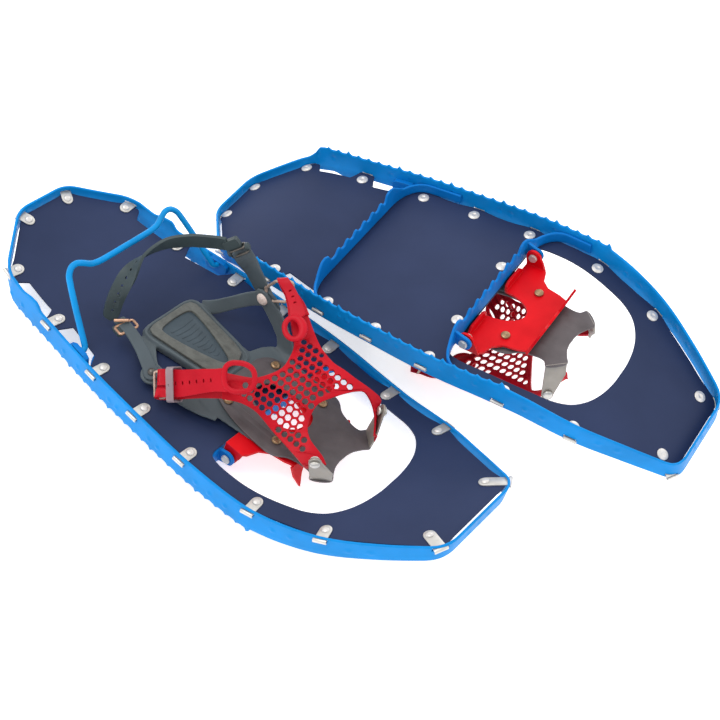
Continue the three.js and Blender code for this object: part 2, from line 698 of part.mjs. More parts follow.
// left half in plan, x and y
const TOE_PLATE = [
  [258, 24], [264, 34], [284, 42], [306, 46], [334, 47], [343, 45], [352, 38],
  [364, 34.5], [376, 34.5], [381, 40], [396, 27], [392, 20], [388, 12], [386.5, 5],
];
const TOE_EAR = { x: 388, y: 33, z: 9, top: 12, radius: 6.2, holeHeight: 11.5, holeRadius: 2.6 };
// left half of the opening over the pivot, through the toe plate and the base below it
const WINDOW = [[281.5, 6], [286, 12], [296, 16.5], [312, 19], [328, 18.5], [338, 14], [342.5, 6]];
const windowCut = (grow) => column(
  symmetric(WINDOW.map(([x, y]) => [x + (x < 312 ? -grow : grow), y + grow])));

// ear folded up from a front corner, and its hole; local x runs along the fold, y up the ear
function toeEar(side) {
  const xAxis = unit(0.756, -0.655 * side, 0);
  const normal = xAxis.clone().cross(vec(0.1, 0.12 * side, 0.98)).normalize();
  const yAxis = normal.clone().cross(xAxis).normalize();
  const { x, y, z, top, radius, holeHeight, holeRadius } = TOE_EAR;
  const foot = vec(x, y * side, z);
  const outline = [[-9.5, -0.9], [9.5, -0.9], ...halfTurn(0, top, radius, radius, 0, 6)];
  const holeCentre = foot.clone().addScaledVector(yAxis, holeHeight);
  return {
    ear: place(prism(outline, -TOE_T / 2, TOE_T / 2), xAxis, yAxis, normal, foot),
    hole: rod(holeCentre, normal, -5, 5, holeRadius, 16),
  };
}

function makeToePlate() {
  const ears = SIDES.map(toeEar);
  const plate = prism(symmetric(TOE_PLATE), TOE_Z, TOE_Z + TOE_T);
  const whole = union([plate, ...ears.map(({ ear }) => ear)]);
  const holes = [...ears.map(({ hole }) => hole), ...fourRivetHoles(), windowCut(0)];
  return toGeometry(subtract(whole, holes));
}

// ---------------------------------------------------------------- ankle hubs
const HUB_R = 9.2;
const HUB_T = 2.4;
const LINK_LIFT = 3; // from the base's disc to the heel link's, along the hub axis
const LEFT_HUB = { centre: vec(230, 55.6, 47), axis: unit(0.05, 1, 0.12) };
const RIGHT_HUB = { centre: vec(209.5, -62.6, 10.6), axis: unit(0.06, -0.3, 0.95) };
const HUBS = [LEFT_HUB, RIGHT_HUB];
const lifted = ({ centre, axis }) => (
  { centre: centre.clone().addScaledVector(axis, LINK_LIFT), axis });

const hubDisc = ({ centre, axis }) => turned(
  [[0, -HUB_T / 2], [HUB_R, -HUB_T / 2], [HUB_R, HUB_T / 2], [0, HUB_T / 2]], centre, axis, 16);

// pivot hole and the flat seats either side of the disc
const hubCuts = ({ centre, axis }, seatRadius) => [
  rod(centre, axis, -6, 6, 2.9, 12),
  rod(centre, axis, HUB_T / 2, 9, seatRadius, 16),
  rod(centre, axis, -9, -HUB_T / 2, seatRadius, 16),
];

// ---------------------------------------------------------------- binding base
// left halves in plan, x and y
const REAR_FRAME = [[163, 27], [166, 33], [172, 35.5], [184, 34.5], [205, 31], [238, 27], [252, 27]];
const FRONT_FLANGE = [[246, 27], [250, 40], [256, 49], [268, 52], [300, 48.5], [322, 45.5], [344, 41]];
// wing strips from the base to the hubs: x, y, z, width direction x, y, z, width
const WINGS = [
  [ // left rear
    [179, 33.2, 7, 0.85, 0, -0.3, 13], [188, 38.5, 11, 0.8, 0, -0.5, 14],
    [204, 47.5, 25, 0.75, 0, -0.66, 13], [218, 53, 38, 0.75, 0, -0.66, 14],
    [231, 55.4, 48, 0.7, 0, -0.7, 15],
  ],
  [ // left front
    [268, 44, 6.2, 1, 0, 0, 21], [269.5, 50.6, 8.6, 0.98, 0, 0.15, 21],
    [263, 54.2, 21, 0.85, 0, 0.55, 19], [248, 55.4, 36, 0.75, 0, 0.65, 20],
    [232, 55.4, 47.5, 0.7, 0, 0.72, 17],
  ],
  [ // right rear, folded out
    [173, -31.5, 5.6, 0.8, 0.55, 0, 15], [182, -40, 5.2, 0.8, 0.55, 0, 14],
    [194, -50.5, 6.4, 0.8, 0.55, 0.05, 14], [208.5, -61.8, 10.2, 0.7, 0.65, 0.15, 15],
  ],
  [ // right front, folded out
    [277, -44.5, 6.1, 0.45, 0.9, 0, 23], [262, -52, 5.4, 0.4, 0.92, 0, 19],
    [240, -58.2, 5, 0.3, 0.95, 0.03, 15], [212, -62.4, 9.6, 0.2, 0.95, 0.25, 15],
  ],
];

function makeBase() {
  const whole = union([
    prism(symmetric(REAR_FRAME), 0.8, BASE_TOP),
    prism(symmetric(FRONT_FLANGE), CRAMPON_TOP + GAP, BASE_TOP),
    ...WINGS.map((rows) => ribbon(stations(rows), HUB_T, 2)),
    ...HUBS.map(hubDisc),
  ]);
  const seats = HUBS.flatMap((hub) => hubCuts(hub, HUB_R + 0.8));
  return toGeometry(subtract(whole, [...fourRivetHoles(), ...seats, windowCut(1.2)]));
}

// ---------------------------------------------------------------- heel pad
// left halves in plan, x and y
const PAD = [
  [165.5, 23], [168, 27.4], [173, 29.2], [184, 28.6], [205, 26.4], [236, 22.6], [246, 20.5],
  [249, 15],
];
const PAD_POCKET = [[178, 18], [181, 20.5], [236, 4.5], [238, 2]];
const PAD_RIBS = { count: 4, x: 184, pitch: 12, width: 3, halfLength: 12, taper: 3 };

function makePad() {
  const pad = prism(symmetric(PAD), BASE_TOP + GAP, 11);
  const body = subtract(pad, [prism(symmetric(PAD_POCKET), 9.4, 14)]);
  const { count, x, pitch, width, halfLength, taper } = PAD_RIBS;
  const ribs = Array.from({ length: count }, (_, i) => {
    const rear = x + i * pitch;
    const half = halfLength - i * taper;
    return prism(rectangle(rear, -half, rear + width, half), 9, 10.4);
  });
  return toGeometry(union([body, ...ribs]));
}

// ---------------------------------------------------------------- base rivets
// lower head from z0 to z1
function baseRivet(x, side, z0, z1) {
  const profile = [
    [0, z0], [4.2, z0], [4.2, z1], [RIVET_R, z1], [RIVET_R, 10.2],
    [4.4, 10.2], [4.4, 10.9], [3.4, 11.9], [0, 12.2],
  ];
  return weld(turned(profile, vec(x, RIVET_Y * side, 0), UP, 8));
}
const rearRivet = (side) => baseRivet(REAR_RIVET_X, side, 3.6, 5.4);
const frontRivet = (side) => baseRivet(FRONT_RIVET_X, side, 0.4, 2.6);

// ---------------------------------------------------------------- forefoot cradle
const CRADLE_T = 2.6;
// pattern plane: origin, directions of pattern s and t, direction of rise
const PATTERN = {
  origin: vec(322.2, -0.3, 57),
  sAxis: vec(0.7495, 0.6297, 0.2043),
  tAxis: vec(0.5885, -0.4926, -0.6411),
  rise: vec(0.3031, -0.6008, 0.7398),
};
// drape heights: pattern coordinates s, t and rise above the pattern plane
const DRAPE = [
  [-67.2, -7.8, -0.4], [-66.7, 15.6, 3.5], [-50.6, 19.2, -0.5], [-37.2, 6, 3.3],
  [-23.4, 42.9, 4.4], [-7.4, 50.9, 8.3], [8, 74.5, 25.9], [17.2, 69, 19.9], [0, 0, 0],
  [16.5, 19.1, 2.5], [10, 47.4, 9.9], [37.5, 11.4, -1.8], [57.6, 8.9, -9.5],
  [73.6, 21.6, -19.2], [71.8, 45.4, -17], [35.6, -10.4, -12.1], [-0.2, -31.7, -23.3],
  [9.3, -47, -31.1], [-9.4, -52.2, -27.8], [-39.2, -2.6, 0.4], [-21.1, -7.8, -2.3],
];
const DRAPE_UNIT = 100; // length scale of the drape spline
const DRAPE_SLACK = 0.006; // smoothing of the drape spline
// outline in pattern coordinates s, t
const CRADLE = [
  [-66.8, 15.6], [-50.6, 19.2], [-36.9, 27], [-23.4, 42.9], [-9.8, 56.8], [1.3, 68.1],
  [7.2, 75.4], [15.7, 77.2], [24, 71.7], [20.5, 64.2], [10.9, 51.6], [7.7, 40.6],
  [11.2, 28.3], [17.5, 19.5], [29.6, 14.4], [39.2, 11.4], [49.7, 9.3], [57.6, 10.3],
  [63.8, 20.9], [66.4, 33.8], [65.5, 48.7], [76.2, 49], [77.2, 27.9], [72.7, 17.1],
  [61.8, 7.3], [49.7, -1.2], [40, -8.6], [29.3, -15.7], [18.5, -29], [11.1, -45.2],
  [6.5, -57.8], [-9.5, -57.7], [-7.5, -45.1], [-5.4, -31.6], [-8.6, -21], [-15.1, -10.9],
  [-27.1, -5.2], [-38.7, -2.6], [-51.5, -4.4], [-67.2, -7.8],
];
// triangular lattice of holes in the pattern, angle in radians, kept inside the s and t limits
const HOLES = {
  pitch: 11.4, radius: 3.5, margin: 2.4, angle: -0.45, s: 2, t: 8, reach: 12,
  sMin: -48, sMax: 60, tMin: -34, tMax: 58,
};

// linear equations by elimination with row exchange
function solve(matrix, values) {
  const n = values.length;
  for (let i = 0; i < n; i++) {
    let pivot = i;
    for (let row = i + 1; row < n; row++) {
      if (Math.abs(matrix[row][i]) > Math.abs(matrix[pivot][i])) pivot = row;
    }
    [matrix[i], matrix[pivot]] = [matrix[pivot], matrix[i]];
    [values[i], values[pivot]] = [values[pivot], values[i]];
    for (let row = i + 1; row < n; row++) {
      const factor = matrix[row][i] / matrix[i][i];
      for (let col = i; col < n; col++) matrix[row][col] -= factor * matrix[i][col];
      values[row] -= factor * values[i];
    }
  }
  const result = new Array(n);
  for (let i = n - 1; i >= 0; i--) {
    let sum = values[i];
    for (let col = i + 1; col < n; col++) sum -= matrix[i][col] * result[col];
    result[i] = sum / matrix[i][i];
  }
  return result;
}

// thin-plate spline through the drape heights
function plateTerm(s, t, [s0, t0]) {
  const r = Math.hypot(s - s0, t - t0) / DRAPE_UNIT;
  return r > 1e-9 ? r * r * Math.log(r) : 0;
}
function fitDrape() {
  const linear = ([s, t]) => [1, s / DRAPE_UNIT, t / DRAPE_UNIT];
  const rows = DRAPE.map((point, i) => [
    ...DRAPE.map((other, j) => plateTerm(point[0], point[1], other) + (i === j ? DRAPE_SLACK : 0)),
    ...linear(point),
  ]);
  for (let k = 0; k < 3; k++) rows.push([...DRAPE.map((point) => linear(point)[k]), 0, 0, 0]);
  return solve(rows, [...DRAPE.map((point) => point[2]), 0, 0, 0]);
}
const DRAPE_WEIGHTS = fitDrape();

function drapeRise(s, t) {
  const [level, sTilt, tTilt] = DRAPE_WEIGHTS.slice(DRAPE.length);
  const bend = DRAPE.reduce((sum, point, i) => sum + DRAPE_WEIGHTS[i] * plateTerm(s, t, point), 0);
  return bend + level + sTilt * s / DRAPE_UNIT + tTilt * t / DRAPE_UNIT;
}
const drapePoint = (s, t) => PATTERN.origin.clone()
  .addScaledVector(PATTERN.sAxis, s)
  .addScaledVector(PATTERN.tAxis, t)
  .addScaledVector(PATTERN.rise, drapeRise(s, t));
function drapeNormal(s, t) {
  const alongS = drapePoint(s + 1, t).sub(drapePoint(s - 1, t));
  const alongT = drapePoint(s, t + 1).sub(drapePoint(s, t - 1));
  return alongT.cross(alongS).normalize();
}

// distance to the cradle outline, negative outside it
function edgeDistance(s, t) {
  let distance = 1e9;
  let inside = false;
  CRADLE.forEach(([s1, t1], i) => {
    const [s2, t2] = CRADLE.at(i - 1);
    const [ds, dt] = [s2 - s1, t2 - t1];
    const fraction = ((s - s1) * ds + (t - t1) * dt) / (ds ** 2 + dt ** 2);
    const k = Math.max(0, Math.min(1, fraction));
    distance = Math.min(distance, Math.hypot(s - s1 - k * ds, t - t1 - k * dt));
    if ((t1 > t) !== (t2 > t) && s < ds * (t - t1) / dt + s1) inside = !inside;
  });
  return inside ? distance : -distance;
}

function cradleHoles() {
  const { pitch, radius, margin, angle, reach, sMin, sMax, tMin, tMax } = HOLES;
  const second = angle + Math.PI / 3;
  const holes = [];
  for (let i = -reach; i <= reach; i++) {
    for (let j = -reach; j <= reach; j++) {
      const s = pitch * (i * Math.cos(angle) + j * Math.cos(second)) + HOLES.s;
      const t = pitch * (i * Math.sin(angle) + j * Math.sin(second)) + HOLES.t;
      if (s < sMin || s > sMax || t < tMin || t > tMax) continue;
      if (edgeDistance(s, t) < radius + margin) continue;
      holes.push(polygon(s, t, radius, 6, -1));
    }
  }
  return holes;
}

// extra, slightly bowed points halve the long edges so that the sheet bends smoothly
const cradleOutline = () => CRADLE.flatMap((point, i) => {
  const [s, t] = point;
  const [s2, t2] = CRADLE[(i + 1) % CRADLE.length];
  if (Math.hypot(s2 - s, t2 - t) <= 13) return [point];
  return [point, [(s + s2) / 2 + (t2 - t) * 0.012, (t + t2) / 2 - (s2 - s) * 0.012]];
});

function makeCradle() {
  const geometry = prism(cradleOutline(), -CRADLE_T / 2, CRADLE_T / 2, cradleHoles());
  const { position } = geometry.attributes;
  for (let i = 0; i < position.count; i++) {
    const [s, t] = [position.getX(i), position.getY(i)];
    const moved = drapePoint(s, t).addScaledVector(drapeNormal(s, t), position.getZ(i));
    position.setXYZ(i, moved.x, moved.y, moved.z);
  }
  return weld(geometry);
}

// ---------------------------------------------------------------- right forefoot strap
const RIGHT_ACROSS = unit(0.55, -0.5, -0.67);
// lower run from the cradle, bend through the metal loop, upper run back over the top
const RIGHT_LOWER = [
  drapePoint(-68, 4.2), vec(259, -53.4, 33.8), vec(244.5, -60.6, 25.6), vec(232, -67, 18.4),
];
const RIGHT_BEND = [vec(226.6, -70.2, 16.4), vec(226, -71.8, 19.8)];
const RIGHT_UPPER = [
  vec(231.5, -70.2, 24.4), vec(244.5, -65, 32.2), vec(262, -56.6, 45.2),
  vec(279, -48.6, 56.4), vec(291, -41.5, 62.2),
];
const RIGHT_WIDTHS = [22, 22, 23, 24, 24, 24, 24, 23, 20, 17, 12];
const RIGHT_ALONG = RIGHT_LOWER[1].clone().sub(RIGHT_LOWER[3]).normalize();

const evenStations = (points, across, widths) => points.map((point, i) => (
  { point, across, width: widths[i] }));

function makeRightStrap() {
  const path = [...RIGHT_LOWER, ...RIGHT_BEND, ...RIGHT_UPPER];
  return weld(ribbon(evenStations(path, RIGHT_ACROSS, RIGHT_WIDTHS), 2.3, 3));
}

// metal loop threaded through the bend, lying in the plane of the strap
function makeRightLoop() {
  const centre = vec(231.2, -68.3, 20.3).addScaledVector(RIGHT_ALONG, -5.5);
  const size = { long: 29.5, short: 9.2, bar: 1.4, depth: 1.4 };
  return weld(barLoop(centre, squareTo(RIGHT_ACROSS, RIGHT_ALONG), RIGHT_ALONG, size));
}

// ring round both runs
const makeKeeper = () => loopRound(RIGHT_LOWER[2], RIGHT_UPPER[1], RIGHT_ALONG, RIGHT_ACROSS, {
  shift: -6.5, long: 28.5, margin: 8.4, bar: 1.5, depth: 7,
});

// ---------------------------------------------------------------- left forefoot strap
const LEFT_ACROSS = unit(0.72, 0.6, 0.2);
const LEFT_PATH = [
  drapePoint(-1.5, -62.2), vec(266, 50.5, 71), vec(256, 54.5, 76.5), vec(248.5, 56.6, 81),
  vec(245, 56.2, 85), vec(247.6, 53.2, 88), vec(257, 48.5, 84.5), vec(269, 42, 79.5),
  vec(279, 35.5, 76.5),
];
const LEFT_WIDTHS = [15, 13.5, 12, 11, 11, 11, 12, 14, 12];

function leftPath(ratio) {
  const height = fold(STRAP_FOLD_Z, ratio);
  return LEFT_PATH.map(({ x, y, z }) => vec(x, y, height(z)));
}
const makeLeftStrap = (ratio) => weld(
  ribbon(evenStations(leftPath(ratio), LEFT_ACROSS, LEFT_WIDTHS), 2.2, 3));

// metal loop round both runs
function makeLeftLoop(ratio) {
  const path = leftPath(ratio);
  const along = path[1].clone().sub(path[3]).normalize();
  return loopRound(path[2], path[6], along, LEFT_ACROSS, {
    shift: 0, long: 16.5, margin: 5, bar: 1.5, depth: 2.4,
  });
}

// ---------------------------------------------------------------- heel strap, links and buckles
// rows of x, y, z, width direction x, y, z, width
const HEEL_STRAP = [
  [186.5, 44.6, 90.4, -0.5, 0.45, 0.74, 15], [173.3, 40, 85.3, -0.35, 0.25, 0.9, 16],
  [153.7, 30, 77.8, -0.1, -0.1, 0.97, 16.5], [138.5, 15, 70.4, 0.3, -0.2, 0.9, 16.5],
  [132.1, -4, 62, 0.62, 0, 0.75, 16.5], [131.6, -22, 47, 0.65, 0.5, 0.45, 16.5],
  [132.8, -36, 27, 0.5, 0.82, 0.05, 16], [135.6, -43, 14.6, 0.42, 0.88, 0, 15.5],
  [137.4, -46.4, 8.8, 0.42, 0.88, 0, 12],
];
const LEFT_SEAT = lifted(LEFT_HUB);
const RIGHT_SEAT = lifted(RIGHT_HUB);
const LEFT_LINK_LOW = [
  [LEFT_SEAT.centre.x + 1, LEFT_SEAT.centre.y + 0.2, LEFT_SEAT.centre.z - 1, 0.7, 0.05, 0.7, 15],
  [223, 58.8, 54, 0.72, 0, 0.66, 15],
];
// the part that folds with the heel strap
const LEFT_LINK_HIGH = [
  [210.5, 57, 68, 0.7, 0.1, 0.6, 14], [201, 52.8, 81, 0.3, 0.6, 0.7, 13.5],
  [194.6, 49.4, 89, -0.4, 0.5, 0.7, 13],
];
const RIGHT_LINK = [
  [RIGHT_SEAT.centre.x + 1, RIGHT_SEAT.centre.y - 0.6, RIGHT_SEAT.centre.z, 0.45, 0.85, 0.25, 15],
  [200, -60, 16.6, 0.45, 0.85, 0.25, 14], [188, -56, 20.6, 0.4, 0.88, 0.2, 13],
  [172, -52, 23.6, 0.2, 0.95, 0.1, 12], [157, -48.2, 21.4, 0.1, 0.95, 0.1, 12],
  [147.4, -45.4, 17.6, 0.1, 0.95, 0.1, 12],
];

const makeHeelStrap = (ratio) => weld(
  ribbon(stations(HEEL_STRAP, fold(HEEL_FOLD_Z, ratio)), 3.2, 3));

const leftLinkHigh = (ratio) => stations(LEFT_LINK_HIGH, fold(HEEL_FOLD_Z, ratio));

// strip ending in a disc on its hub
function heelLink(list, seat) {
  const whole = union([ribbon(list, HUB_T, 3), hubDisc(seat)]);
  return toGeometry(subtract(whole, hubCuts(seat, HUB_R + 1.4)));
}
const makeLeftLink = (ratio) => heelLink(
  [...stations(LEFT_LINK_LOW), ...leftLinkHigh(ratio)], LEFT_SEAT);
const makeRightLink = () => heelLink(stations(RIGHT_LINK), RIGHT_SEAT);

// frame round a link, at a fraction of the way between two of its stations
function buckle([from, to], fraction, across, long, short) {
  const along = to.point.clone().sub(from.point).normalize();
  const centre = from.point.clone().lerp(to.point, fraction);
  return weld(crossLoop(centre, along, across, { long, short, bar: 1.7, depth: 3.4 }));
}
const makeRightBuckle = () => buckle(
  stations(RIGHT_LINK.slice(3, 5)), 0.72, unit(0.15, 0.95, 0.1), 14, 4.4);
const makeLeftBuckle = (ratio) => buckle(
  leftLinkHigh(ratio), 0.75, unit(0.5, 0.35, 0.65), 17.5, 7.4);

// radius, height along the hub axis
const ANKLE_RIVET = [
  [0, -3.4], [4.6, -3.4], [4.6, -1.55], [2.5, -1.55], [2.5, LINK_LIFT + 1.55],
  [5.4, LINK_LIFT + 1.55], [5.4, LINK_LIFT + 2.4], [3.8, LINK_LIFT + 3.4], [0, LINK_LIFT + 3.6],
];
const ankleRivet = ({ centre, axis }) => weld(turned(ANKLE_RIVET, centre, axis, 12));

// ---------------------------------------------------------------- one shoe
// rows of name, geometry, finish
const makeShoe = ({ bailAngle, heelFold, strapFold }) => [
  ['frame_rail', makeRail(), 'rail'],
  ['deck_with_clips', makeDeck(), 'deck'],
  ['rear_crossbar', makeRearBar(), 'bar'],
  ['hinge_crossbar', makeHingeBar(), 'bar'],
  ['heel_bail', makeBail(bailAngle), 'bail'],
  ['bail_bracket_left', makeBracket(1), 'bar'],
  ['bail_bracket_right', makeBracket(-1), 'bar'],
  ['crampon', makeCrampon(), 'crampon'],
  ['hinge_pin_left', makePin(1), 'steel'],
  ['hinge_pin_right', makePin(-1), 'steel'],
  ['toe_plate', makeToePlate(), 'toePlate'],
  ['binding_base', makeBase(), 'binding'],
  ['heel_pad', makePad(), 'pad'],
  ['base_rivet_rear_left', rearRivet(1), 'bronze'],
  ['base_rivet_rear_right', rearRivet(-1), 'bronze'],
  ['base_rivet_front_left', frontRivet(1), 'bronze'],
  ['base_rivet_front_right', frontRivet(-1), 'bronze'],
  ['forefoot_cradle', makeCradle(), 'forefoot'],
  ['forefoot_strap_right', makeRightStrap(), 'forefoot'],
  ['forefoot_strap_left', makeLeftStrap(strapFold), 'forefoot'],
  ['strap_keeper', makeKeeper(), 'keeper'],
  ['strap_loop_right', makeRightLoop(), 'steel'],
  ['strap_loop_left', makeLeftLoop(strapFold), 'steel'],
  ['heel_strap', makeHeelStrap(heelFold), 'heelStrap'],
  ['heel_buckle_right', makeRightBuckle(), 'bronze'],
  ['heel_buckle_left', makeLeftBuckle(heelFold), 'steel'],
  ['heel_link_left', makeLeftLink(heelFold), 'binding'],
  ['heel_link_right', makeRightLink(), 'binding'],
  ['ankle_rivet_left', ankleRivet(LEFT_HUB), 'steel'],
  ['ankle_rivet_right', ankleRivet(RIGHT_HUB), 'steel'],
];

// ---------------------------------------------------------------- the pair
// shoe b's place relative to shoe a, turned deck down
function overturnedPose() {
  const xAxis = unit(0.97395, 0.0842, 0.21057);
  const zAxis = xAxis.clone().cross(vec(0.11523, -0.98347, -0.13971)).normalize();
  const yAxis = zAxis.clone().cross(xAxis).normalize();
  return new THREE.Matrix4().makeBasis(xAxis, yAxis, zAxis).setPosition(90, 177.6, 11.6);
}

const root = new THREE.Group();
root.name = 'snowshoe_pair';
const bounds = new THREE.Box3();
for (const [tag, pose, settings] of [
  ['a', new THREE.Matrix4(), SHOE_A],
  ['b', overturnedPose(), SHOE_B],
]) {
  for (const [name, geometry, finish] of makeShoe(settings)) {
    geometry.applyMatrix4(pose);
    geometry.computeBoundingBox();
    bounds.union(geometry.boundingBox);
    const mesh = new THREE.Mesh(geometry, new THREE.MeshStandardMaterial(FINISHES[finish]));
    mesh.name = `${tag}_${name}`;
    root.add(mesh);
  }
}

// centre the footprint on the origin and rest the pair on the ground
const centre = bounds.getCenter(vec());
for (const { geometry } of root.children) {
  geometry.translate(-centre.x, -centre.y, -bounds.min.z);
  geometry.computeVertexNormals();
}
export default root;
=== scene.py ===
"""A pair of snowshoes: "a" lies deck up, "b" is turned over beside it.

Shapes are in millimetres in a shoe's own frame: +X to the toe, +Y to the left, +Z up, with the
flat middle of the deck's top at z = 0. add_piece() carries them to the world, in metres.
A "shape" is a pair (vertices, faces); a "sheet" is the same in the plane.
"""
import bpy
import bmesh
import math
import numpy as np
from mathutils import Matrix, Vector
from mathutils.geometry import tessellate_polygon


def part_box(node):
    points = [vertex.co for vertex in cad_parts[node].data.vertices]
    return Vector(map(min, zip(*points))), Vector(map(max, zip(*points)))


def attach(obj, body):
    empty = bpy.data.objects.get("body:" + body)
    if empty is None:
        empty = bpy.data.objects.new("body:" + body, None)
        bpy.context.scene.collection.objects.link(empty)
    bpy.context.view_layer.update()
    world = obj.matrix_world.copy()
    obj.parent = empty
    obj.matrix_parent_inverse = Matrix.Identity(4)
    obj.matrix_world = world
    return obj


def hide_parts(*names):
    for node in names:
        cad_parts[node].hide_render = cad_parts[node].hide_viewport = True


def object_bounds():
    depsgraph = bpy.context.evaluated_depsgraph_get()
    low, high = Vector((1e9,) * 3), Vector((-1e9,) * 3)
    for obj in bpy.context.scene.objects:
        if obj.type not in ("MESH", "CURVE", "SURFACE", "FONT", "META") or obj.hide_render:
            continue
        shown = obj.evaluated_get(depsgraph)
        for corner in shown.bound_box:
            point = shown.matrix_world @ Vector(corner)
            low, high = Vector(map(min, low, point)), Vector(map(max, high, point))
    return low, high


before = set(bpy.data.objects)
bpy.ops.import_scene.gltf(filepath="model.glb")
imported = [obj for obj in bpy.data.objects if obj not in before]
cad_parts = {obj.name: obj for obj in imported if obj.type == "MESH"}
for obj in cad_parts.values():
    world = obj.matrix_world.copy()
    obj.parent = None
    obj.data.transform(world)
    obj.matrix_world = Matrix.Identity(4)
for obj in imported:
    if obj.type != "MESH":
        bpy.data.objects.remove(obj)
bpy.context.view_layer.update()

norm = np.linalg.norm

# ---------------------------------------------------------------- places of the two shoes
PAD_REAR, PAD_BOTTOM = 165.5, 7.95  # the heel pad's rear end and underside in the shoe's frame
STAND = 24.0  # height of shoe a's frame before the shift
pad_lo, pad_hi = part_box("a_heel_pad")
SHIFT = np.array([pad_lo.x * 1000 - PAD_REAR,
                  (pad_lo.y + pad_hi.y) * 500,
                  pad_lo.z * 1000 - PAD_BOTTOM - STAND])
TURNED_OVER = np.array([[0.9739461, 0.1152281, 0.1953239],
                        [0.0841997, -0.9834652, 0.1603331],
                        [0.2105692, -0.1397096, -0.9675442]])
# bail: degrees the heel bail is raised. heel_rise and strap_rise: share kept of the heights of
# the heel strap (above HEEL_FOLD) and of the left forefoot strap (above STRAP_FOLD)
SHOES = {
    "a": dict(body="first", turn=np.eye(3), place=np.array([0, 0, STAND]) + SHIFT,
              bail=50.0, heel_rise=1.0, strap_rise=1.0),
    "b": dict(body="second", turn=TURNED_OVER, place=np.array([90.0, 177.6, 35.6]) + SHIFT,
              bail=12.0, heel_rise=0.3, strap_rise=0.35),
}
HEEL_FOLD, STRAP_FOLD = 46, 72

# Camera axes; the cradle is measured on the same axes
VIEW_RIGHT = np.array([0.7495, 0.6297, 0.2043])
VIEW_DOWN = np.array([0.5885, -0.4926, -0.6411])
VIEW_BACK = np.array([0.3031, -0.6008, 0.7398])


def vec(*xyz):
    return np.array(xyz, float)


def unit(vector):
    return np.array(vector, float) / norm(vector)


def square_to(vector, axis):
    """unit vector: the part of vector at right angles to axis"""
    return unit(vector - axis * vector.dot(axis))


def deck_z(x):
    """the deck curls up behind x = 95 and ahead of x = 335"""
    if x < 95:
        return 17.5 * ((95 - x) / 95) ** 1.8
    if x > 335:
        return 0.0161 * (x - 335) ** 1.6
    return 0.0


def folded(points, level, share):
    """points with their height above a level scaled down"""
    return [(x, y, level + (z - level) * share if z > level else z) for x, y, z in points]


# ---------------------------------------------------------------- materials
MATERIALS, SLOTS = {}, {}
EDGE_RADIUS = 0.0006  # metres, rounding seen by the shading


def srgb(*levels):
    """8-bit sRGB to linear"""
    return tuple(((v / 255 + 0.055) / 1.055) ** 2.4 if v / 255 > 0.04045 else v / 255 / 12.92
                 for v in levels)


